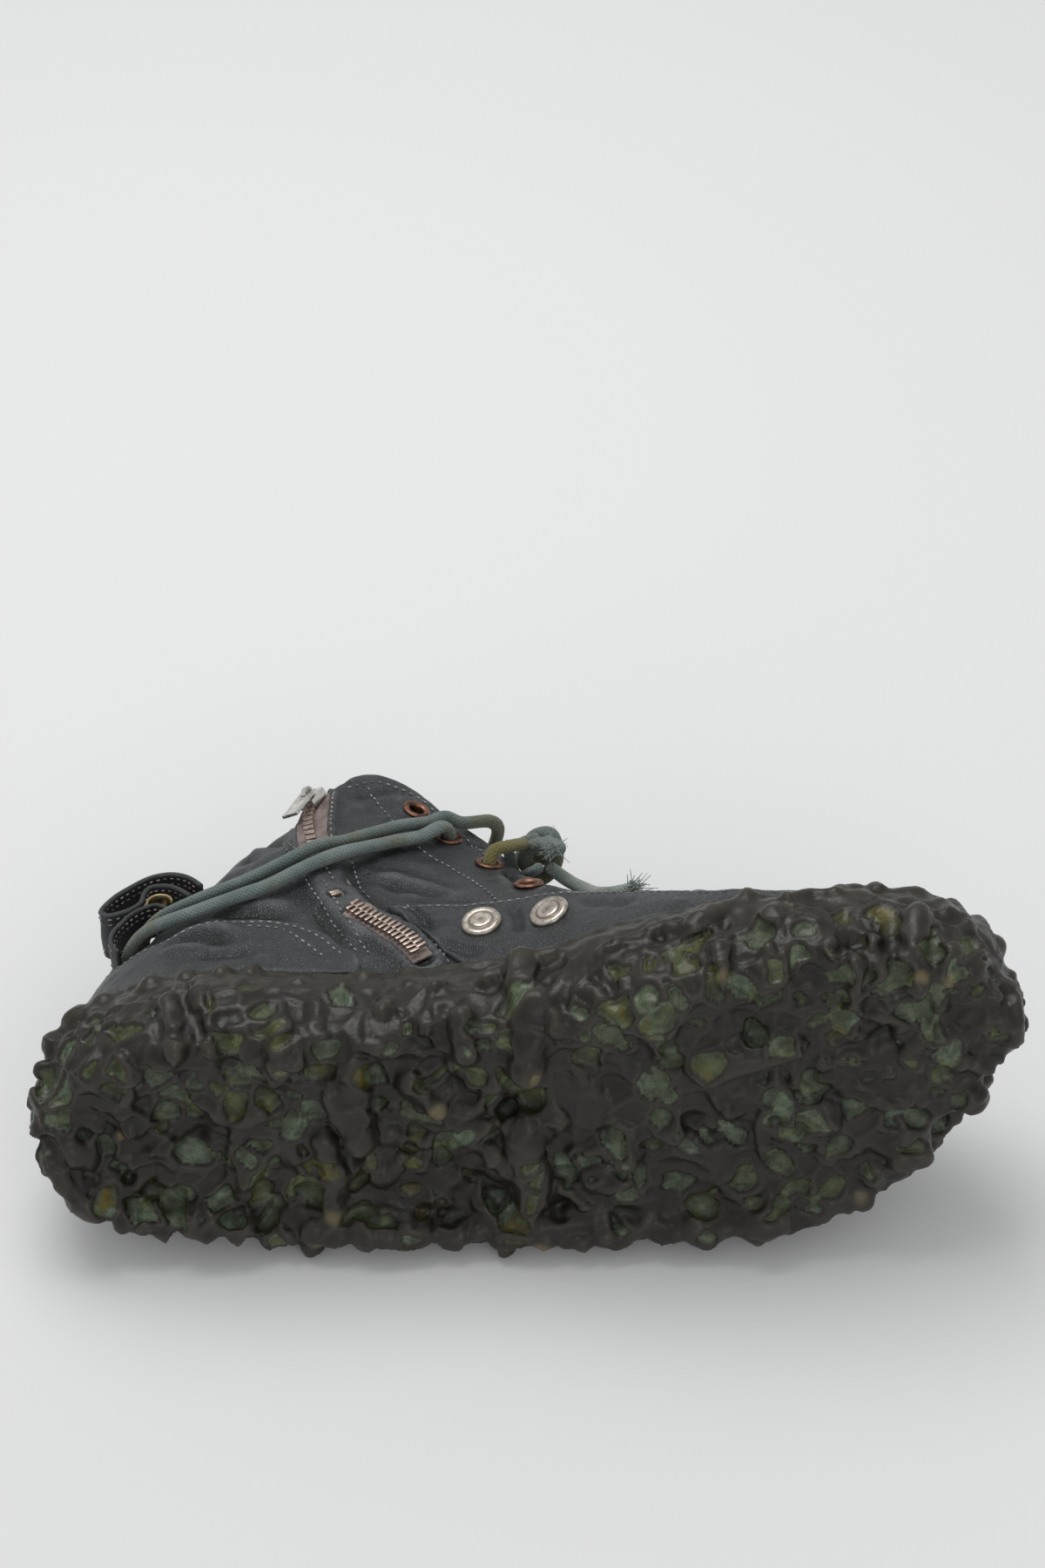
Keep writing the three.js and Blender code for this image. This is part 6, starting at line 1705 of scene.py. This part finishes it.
def tooth_frames():
    first = SLIDER_AT * ZIP_LENGTH + 5.5 * MM
    at = np.arange(first, ZIP_LENGTH - 3.2 * MM, TOOTH_PITCH)
    spots, ahead, side, out = zip_frames(at)
    frames = []
    for k, (spot, run_to, across, up) in enumerate(zip(spots, ahead, side, out)):
        share = at[k] / ZIP_LENGTH
        peeps = abs(share - PEEP_AT) < PEEP
        if COVER_FROM < share < COVER_TO - 0.02 and not peeps:
            continue
        if share < COVER_TO - 0.02:
            if k % 3 == 2:
                continue
            shift, bulge = -1.0 * MM, 0.35 * MM
        else:
            shift = (1.45 if k % 2 else -1.45) * MM
            bulge = 1.2 * MM * step_between(share, COVER_TO, 0.95)
        turn = 0.10 * math.sin(k * 2.3)
        x = unit(run_to * math.cos(turn) + across * math.sin(turn))
        frame_at = Matrix(np.stack([x, np.cross(up, x), up], 1).tolist()).to_4x4()
        frames.append(Matrix.Translation(spot + across * shift + up * (CHAIN_LOW + 0.7 * MM + bulge))
                      @ frame_at)
    return frames


teeth_at = tooth_frames()
teeth = copies("zip_teeth", [
    (bevelled_block((1.25 * MM, 3.5 * MM, 1.5 * MM), 0.28 * MM), teeth_at),
])
dress(teeth, rose, "nickel", "zip_chain")

# %% [markdown]
# ## Slider and pull
# The pull is the shoe's one moving piece: it hinges on the slider's bridge. Its plate has bevelled
# edges, a shallow panel and two arms that hold its bar.

# %% Slider and pull
SLIDER_LENGTH, SLIDER_WIDTH, SLIDER_HEIGHT, SLIDER_POST, SLIDER_BRIDGE = (x * MM for x in (8.4, 7.2, 3.0,
    1.0, 1.6))
PULL_LENGTH, PULL_WIDTH, PULL_THICK, PULL_BAR = (x * MM for x in (13.5, 7, 1.2, 1.3))
TURN_ROOM = 0.5 * math.hypot(PULL_BAR, PULL_THICK) + GAP
BAR_UP = SLIDER_HEIGHT + TURN_ROOM
SLIDER_LIFT = 0.7 * MM
slider_q, slider_t = (float(np.interp(SLIDER_AT * ZIP_LENGTH, zip_reach, zip_qt[:, k])) for k in range(2))
hinge = seat(slider_q, slider_t, CHAIN_LOW + SLIDER_LIFT + BAR_UP, SLIDER_HEADING)


def slider_piece():
    body = bevelled_block((SLIDER_LENGTH, SLIDER_WIDTH, SLIDER_HEIGHT), 0.6 * MM)
    body_at = hinge @ Matrix.Translation((0, 0, SLIDER_HEIGHT / 2 - BAR_UP))
    bridge = bmesh.new()
    reach = TURN_ROOM + SLIDER_POST / 2
    for turn in np.radians(np.arange(-30, 211, 12)):
        x, z = reach * math.cos(turn), reach * math.sin(turn)
        block = Matrix.Translation((x, 0, z)) @ Matrix.Rotation(-turn, 4, "Y") @ \
            Matrix.Diagonal((SLIDER_POST, SLIDER_BRIDGE, 0.55 * MM, 1))
        bmesh.ops.create_cube(bridge, size=1, matrix=block)
    return copies("slider_body", [(body, [body_at]), (bridge, [hinge])])


def pull_piece():
    arm_from = -PULL_BAR / 2
    reach = math.hypot(TURN_ROOM + SLIDER_POST, TURN_ROOM + SLIDER_POST) + GAP
    side = SLIDER_BRIDGE / 2 + GAP + 0.1 * MM
    plate = bmesh.new()
    bmesh.ops.create_cube(plate, size=1, matrix=Matrix.Translation(((reach + PULL_LENGTH) / 2, 0, 0)) @
                          Matrix.Diagonal((PULL_LENGTH - reach, PULL_WIDTH, PULL_THICK, 1)))
    flat = [face for face in plate.faces if abs(face.normal.z) > 0.9]
    bmesh.ops.bevel(plate, geom=[e for e in plate.edges], offset=0.3 * MM, segments=2, profile=0.6,
                    affect="EDGES")
    flat = [face for face in plate.faces if abs(face.normal.z) > 0.99 and face.calc_area() > 10 * MM * MM]
    bmesh.ops.inset_individual(plate, faces=flat, thickness=0.8 * MM, depth=0)
    bmesh.ops.inset_individual(plate, faces=flat, thickness=0.3 * MM, depth=-0.22 * MM)
    arm_width = PULL_WIDTH / 2 - side
    arms = bevelled_block((reach + 1.2 * MM - arm_from, arm_width, PULL_THICK * 0.95), 0.28 * MM)
    arm_frames = [hinge @ Matrix.Translation(((reach + 1.2 * MM + arm_from) / 2, y * (side + arm_width / 2),
        0))
                  for y in (-1, 1)]
    bar = bevelled_block((PULL_BAR, PULL_WIDTH * 0.9, PULL_THICK * 0.9), 0.3 * MM)
    return copies("pull_plate", [(plate, [hinge]), (arms, arm_frames), (bar, [hinge])])


dress(slider_piece(), bright, "nickel", "zip_slider")
dress(pull_piece(), bright, "nickel", "zip_pull", body="zip_pull")

# %% [markdown]
# ## Straps at the heel
# The wide pull loop folds over in a wave, the small loop below it guides the laces, and a half ring
# of brass holds its root. Each strap is a rounded section swept along a line in the shoe's long
# plane, with two rows of pale stitches at each edge.

# %% Straps and ring
PULL_LOOP_LINE = [(40.4, 120.6), (34.5, 126.2), (28.5, 127.4), (21.5, 124.6), (14.2, 117.0), (9.3, 109.6),
                  (8.7, 105.4), (10.9, 103.6), (17.6, 106.4), (21.4, 111.0), (21.6, 116.0), (23.2, 119.4),
                  (28.6, 120.4), (33.4, 118.6), (37.4, 115.0)]
LACE_LOOP_LINE = [(31.6, 105.2), (27, 107.4), (21.6, 104.6), (17.4, 98.5), (15.0, 91.5), (15.4, 85.5),
                  (18.2, 81.4)]


def strap_piece(name, line, thick, width, inward_from, node, seed):
    path = smooth_path(np.array(line) * MM, step=0.6 * MM)
    run_to = unit(np.gradient(path, axis=0))
    across = np.stack([-run_to[:, 1], run_to[:, 0]], -1)
    half, round_at = width / 2, thick / 2
    turn = np.linspace(-math.pi / 2, math.pi / 2, 7)
    edge_a = [(half - round_at * (1 - math.cos(a)), round_at * math.sin(a)) for a in turn]
    upper_side = [(x, round_at) for x in np.linspace(half - round_at, -half + round_at, 20)[1:-1]]
    section = edge_a + upper_side + [(-x, -z) for x, z in edge_a] + [(-x, -z) for x, z in upper_side]
    section = np.array([*section, section[0]])
    middle = inward_from + half
    rows = []
    for spot, n in zip(path, across):
        wide = place(spot[0], middle, spot[1])
        wave = 0.35 * MM * haze(wide[None] + np.outer(section[:, 0], [0, 0, 1]), 6 * MM, seed)
        pinch = 1 - 0.25 * np.exp(-(((np.abs(section[:, 0]) - half + 2.2 * MM) / (0.7 * MM)) ** 2))
        off = section[:, 1] * pinch + wave
        rows.append(place(spot[0] + n[0] * off, middle + section[:, 0], spot[1] + n[1] * off))
    piece = from_rows(name, rows)
    bm = bmesh.new()
    bm.from_mesh(piece.data)
    bmesh.ops.holes_fill(bm, edges=[e for e in bm.edges if e.is_boundary], sides=0)
    bm.to_mesh(piece.data)
    bm.free()
    set_mask(piece.data, "raised", raised_mask(piece.data, 12, 0.5 * MM))
    dress(piece, strap_hide, "strap_leather", node)
    threads = bmesh.new()
    keep = slice(3, -3)
    reach = np.concatenate([[0], np.cumsum(np.linalg.norm(np.diff(path[keep], axis=0), axis=1))])
    at = np.arange(1 * MM, reach[-1], 2.6 * MM)
    for inset in (1.9 * MM, 4.0 * MM):
        for edge in (-1, 1):
            for face in (-1, 1):
                spots = np.stack([np.interp(at, reach, path[keep][:, k]) for k in range(2)], -1)
                n = unit(np.stack([np.interp(at, reach, across[keep][:, k]) for k in range(2)], -1))
                off = face * (round_at + 0.12 * MM)
                even = place(spots[:, 0] + n[:, 0] * off, middle + edge * (half - inset),
                             spots[:, 1] + n[:, 1] * off)
                out = unit(place(face * n[:, 0], 0, face * n[:, 1]) - place(0, 0, 0))
                add_stitches(threads, even, out, length=1.7 * MM, seed=seed)
    dress(to_object(name + "_stitches", threads), warm_thread, "strap_leather")


strap_piece("wide_loop", PULL_LOOP_LINE, 1.9 * MM, 19 * MM, -10.5 * MM, "heel_pull_loop", 61)
strap_piece("small_loop", LACE_LOOP_LINE, 1.6 * MM, 14 * MM, -4 * MM, "heel_lace_loop", 62)

RING_RADIUS, RING_WALL, RING_DEPTH = 4.6 * MM, 1 * MM, 5 * MM
RING_AT = (28.2 * MM, 5.4 * MM, 108.2 * MM)


def ring_band():
    turn = np.radians(np.linspace(15, 190, 48))
    soft = 0.3 * MM
    section = [(RING_RADIUS - RING_WALL, soft), (RING_RADIUS - RING_WALL + soft, 0), (RING_RADIUS - soft, 0),
               (RING_RADIUS, soft), (RING_RADIUS + 0.15 * MM, RING_DEPTH / 2),
               (RING_RADIUS, RING_DEPTH - soft),
               (RING_RADIUS - soft, RING_DEPTH), (RING_RADIUS - RING_WALL + soft, RING_DEPTH),
               (RING_RADIUS - RING_WALL, RING_DEPTH - soft), (RING_RADIUS - RING_WALL, soft)]
    rows = [[place(RING_AT[0] + r * math.cos(a), RING_AT[1] + d, RING_AT[2] + r * math.sin(a)) for r,
             d in section]
            for a in turn]
    piece = from_rows("brass_band", rows, angle=50)
    bm = bmesh.new()
    bm.from_mesh(piece.data)
    bmesh.ops.holes_fill(bm, edges=[e for e in bm.edges if e.is_boundary], sides=0)
    bm.to_mesh(piece.data)
    bm.free()
    set_mask(piece.data, "raised", np.full(len(piece.data.vertices), 0.7))
    return dress(piece, brass, "brass", "heel_ring")


ring_band()

# %% [markdown]
# ## Laces
# Two round cotton laces run from the eyelets along the ankle, through the small loop, round the
# heel and back on the hidden side to the knot. They are tubes along the frame's own routes, which
# here also pass down through their eyelets.

# %% Laces
LIFT = LACE / 2 + 1.0 * MM
LOWER_RUN = [(7.75, 0.80, 1.9), (7.10, 0.71, 0), (6.35, 0.65, 0), (5.90, 0.60, 1.4), (5.35, 0.53, 3.2),
             (4.85, 0.48, 1.7), (4.40, 0.43, 0), (3.90, 0.39, 0), (3.35, 0.37, 0), (2.70, 0.37, 0),
             (2.10, 0.39, 0),
             (1.50, 0.415, 0), (0.90, 0.43, 0), (0.30, 0.44, 0), (-0.30, 0.44, 0), (-0.90, 0.44, 0),
             (-1.60, 0.43, 0), (-2.40, 0.42, 0), (-3.20, 0.42, 0), (-4.00, 0.43, 0), (-4.90, 0.45, 0),
             (-5.80, 0.49, 0), (-6.60, 0.54, 0.6), (-7.35, 0.62, 1.6), (-7.95, 0.77, 3.4), (-8.12, 0.92, 8)]
UPPER_RUN = [(8.35, 0.93, 0.4), (7.85, 0.875, 1.9), (7.30, 0.80, 0.4), (6.65, 0.745, 0), (5.90, 0.675, 0.3),
             (5.45, 0.625, 1.4), (4.95, 0.575, 3.2), (4.45, 0.53, 1.4), (3.85, 0.485, 0), (3.20, 0.455, 0),
             (2.60, 0.455, 0), (2.05, 0.465, 0), (1.50, 0.48, 0), (0.90, 0.49, 0), (0.30, 0.497, 0),
             (-0.30, 0.497, 0), (-0.90, 0.497, 0), (-1.60, 0.49, 0), (-2.40, 0.48, 0), (-3.20, 0.48, 0),
             (-4.00, 0.49, 0), (-4.90, 0.51, 0), (-5.80, 0.555, 0.3), (-6.50, 0.62, 1.6), (-7.05, 0.74, 3.4),
             (-7.35, 0.90, 9)]


def lifted(rows):
    return [over(q_at, t_at, LIFT + extra * MM) for q_at, t_at, extra in rows]


def drawn(*spots):
    return [place(u * MM, v * MM, h * MM) for u, v, h in spots]


def through(eyelet, lift=0.0):
    return [over(*eyelet, lift + h * MM) for h in (-4.5, -1.5, 1.5)]


WRAP_1 = [*through(MEDIAL_EYELETS[1]), *lifted(LOWER_RUN), *drawn((150.5, -8, 134), (152.4, 4.2, 136))]
WRAP_2 = [*through(LATERAL_EYELETS[1], LATERAL_LIFT), over(-6.45, 0.86, LIFT + 1.9 * MM),
          *drawn((128, -20, 150), (133, -11, 155), (138, -1, 157.5), (139.5, 7, 156), (137.5, 13.5, 151)),
          *lifted(UPPER_RUN), *drawn((143, -8, 143.5), (146, 1, 143), (149.3, 7.6, 141.2))]
TAIL_1 = drawn((157.8, 18.6, 130.4), (161, 22.5, 123), (162.5, 27.5, 115), (161, 33, 106.5))
TAIL_2 = drawn((159, 8.5, 130.4), (165, 8, 124), (171, 11.5, 114), (176.5, 16, 105.5), (182, 21, 99.5),
               (187, 24, 97))
STRAND = [*through(MEDIAL_EYELETS[2]), over(8.98, 0.77, LIFT + 1.2 * MM),
          *drawn((146.5, 21.8, 124.5), (150.2, 18.4, 130.6))]
BAR_1 = [over(9.45, 0.985, LIFT + 1.5 * MM), *drawn((147, 0.5, 132)), over(-8.0, 0.985, LIFT + 1.5 * MM)]
BAR_2 = [over(10.1, 0.985, LIFT + 1.5 * MM), *drawn((147, 0.5, 132)), over(-7.4, 0.985, LIFT + 1.5 * MM)]


def lace_material(name, teal, olive, pale):
    material, tree, surface, spots = new_material(name, 0.92, Specular_IOR_Level=0.15)
    run = add_node(tree, "ShaderNodeUVMap", uv_map="run").outputs["UV"]
    weave = use_group(tree, WEAVE, {"Run": run, "Across": 18.0, "Along": mask_of(tree, "threads")})
    tint = use_group(tree, CLOUDS, {"Place": spots, "Scale": 22.0, "Low": 0.50, "High": 0.60})
    wash = use_group(tree, CLOUDS, {"Place": spots, "Scale": 90.0, "Low": 0.4, "High": 0.7})
    fuzz = use_group(tree, CLOUDS, {"Place": spots, "Scale": 900.0, "Low": 0.35, "High": 0.7})
    colour = mix_colour(tree, tint, mix_colour(tree, wash, teal, pale), olive)
    # Painted shade: the low valleys of the weave are darkened towards 0.35 of the teal colour.
    colour = mix_colour(tree, ramp(tree, weave, 0.0, 0.45, 0.5, 0), colour, tuple(c * 0.35 for c in teal))
    tree.links.new(colour, surface.inputs["Base Color"])
    height = add_node(tree, "ShaderNodeMath", {0: weave, 1: fuzz}, operation="ADD")
    bump(tree, surface, height.outputs[0], 0.8, 0.0003)
    surface.inputs["Sheen Weight"].default_value = 0.25
    surface.inputs["Sheen Roughness"].default_value = 0.6
    return material


lace_teal = lace_material("washed_lace", (0.120, 0.160, 0.155), (0.120, 0.125, 0.070), (0.205, 0.245, 0.235))
lace_olive = lace_material("olive_lace", (0.150, 0.130, 0.035), (0.100, 0.090, 0.030), (0.19, 0.17, 0.06))
lace_pale = lace_material("frayed_lace", (0.20, 0.24, 0.22), (0.26, 0.28, 0.24), (0.40, 0.43, 0.39))


def lace_tube(name, points, radius, seed, squeeze=0.86, step=0.5 * MM, sides=18, wiggle=0.25 * MM):
    path = smooth_path(points, step=step)
    ease = np.clip(np.minimum(np.arange(len(path)), np.arange(len(path))[::-1]) / 12, 0, 1)[:, None]
    path = path + wiggle * ease * np.stack([haze(path, 13 * MM, seed + k) for k in range(3)], -1)
    wide = radius * (1 + 0.07 * haze(path, 9 * MM, seed + 5))
    rows = closed_tube(tube_rows(path, wide, sides, squeeze))
    reach = np.linalg.norm(np.diff(path, axis=0), axis=1).sum()
    piece = from_rows(name, rows, masks={"threads": reach / (0.75 * MM)})
    return piece, path, reach


def cord_of(name, points, node, material, slot, seed):
    piece, path, reach = lace_tube(name, points, LACE / 2, seed)
    dress(piece, material, slot, node)


KNOT_AT = place(155 * MM, 12.5 * MM, 136.5 * MM)
KNOT_TURNS = [(-6, -4, 3), (-2, 2, 6), (4, 4, 3.5), (5.5, -1.5, -1), (1, -5.5, -3.5), (-4.5, -3, -1),
              (-4, 3, -3),
              (1.5, 5.5, -4.5), (5.5, 2, 0), (3, -4, 4.5), (-3, -3.5, 5.5), (-5.5, 2, 1.5), (-1, 5, -1)]
knot_points = [KNOT_AT + (place(u * MM, (1.3 * v - 2.5) * MM, h * MM) - place(0, 0, 0))
               for u, v, h in KNOT_TURNS]
knot, _, _ = lace_tube("tied_knot", knot_points, 2.8 * MM, 71, wiggle=0.1 * MM)
dress(knot, lace_teal, "lace", "lace_knot")


def braid(name, points, strands, radius, turn_length, material, slot, node):
    """A few thin strands wound round a path, joined in one mesh."""
    path = smooth_path(points, step=0.5 * MM)
    run_to = unit(np.gradient(path, axis=0))
    side = unit(np.cross(run_to, [0.3, 0.2, 1.0]))
    up = np.cross(run_to, side)
    turn = np.arange(len(path)) * 0.5 * MM / turn_length * 2 * math.pi
    taper = np.linspace(1, 0.8, len(path))[:, None]
    whole = bmesh.new()
    for k in range(strands):
        a = (turn + 2 * math.pi * k / strands)[:, None]
        line = path + (side * np.cos(a) + up * np.sin(a)) * radius * taper
        part, _, _ = lace_tube("strand", line, radius * 0.95, 80 + k, squeeze=1, sides=12, wiggle=0.15 * MM)
        take_in(whole, part)
    piece = to_object(name, whole)
    return dress(piece, material, slot, node)


def tuft(name, tips, count, length, thread, seed, material, slot="lace_tip"):
    """Loose fibres that spread from the frayed ends: places and directions."""
    dice = random.Random(seed)
    whole = bmesh.new()
    for spot, ahead, spread in tips:
        for _ in range(count):
            start = spot + np.array([dice.gauss(0, 1) for _ in range(3)]) * 1.1 * MM
            aim = unit(ahead + spread * np.array([dice.gauss(0, 1) for _ in range(3)]))
            bend = np.array([dice.gauss(0, 1) for _ in range(3)]) * 0.35
            reach = length * dice.uniform(0.5, 1.1)
            line = [start, start + (aim + bend * 0.3) * reach * 0.5, start + (aim + bend) * reach]
            line = [np.maximum(p, [-9, -9, 0.5 * MM]) for p in line]
            rows = tube_rows(smooth_path(line, count=7), np.linspace(thread, thread * 0.5, 7), 5)
            part = from_rows("fibre", rows, weld=True)
            take_in(whole, part)
    return dress(to_object(name, whole), material, slot)


braided = braid("braided_tail", TAIL_1, 3, 1.45 * MM, 9 * MM, lace_teal, "lace", "lace_tail_1")
strand, _, _ = lace_tube("olive_strand", STRAND, 2.3 * MM, 91, wiggle=0.1 * MM)
dress(strand, lace_olive, "lace", "lace_strand")
bars = bmesh.new()
for k, points in enumerate((BAR_1, BAR_2)):
    part, _, _ = lace_tube("bar", points, 0.45 * LACE, 95 + k)
    take_in(bars, part)
dress(to_object("cross_bars", bars), lace_teal, "lace", "lace_bars")
tail_end = TAIL_2[-1]
tail_ahead = unit(TAIL_2[-1] - TAIL_2[-2])
frayed = tuft("frayed_end", [(tail_end, tail_ahead, 0.45), (TAIL_1[-1], unit(TAIL_1[-1] - TAIL_1[-2]), 0.5)],
              70, 5 * MM, 0.2 * MM, 5, lace_pale)
fluff_at = [(spot, unit(spot - KNOT_AT), 0.7) for spot in knot_points[::2]]
fluff = tuft("knot_fluff", fluff_at, 9, 2.6 * MM, 0.10 * MM, 6, lace_teal, "lace")
cord_of("lace_one", WRAP_1, "lace_wrap_1", lace_teal, "lace", 101)
cord_of("lace_two", WRAP_2, "lace_wrap_2", lace_teal, "lace", 111)
cord_of("lace_end", TAIL_2, "lace_tail_2", lace_pale, "lace_tip", 121)

# %% Finish
new_low, new_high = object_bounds()
grown = [round(1000 * x, 2) for x in [*(cad_low - new_low), *(new_high - cad_high)]]
print("the dressed shoe reaches past the frame's box by mm:", grown)
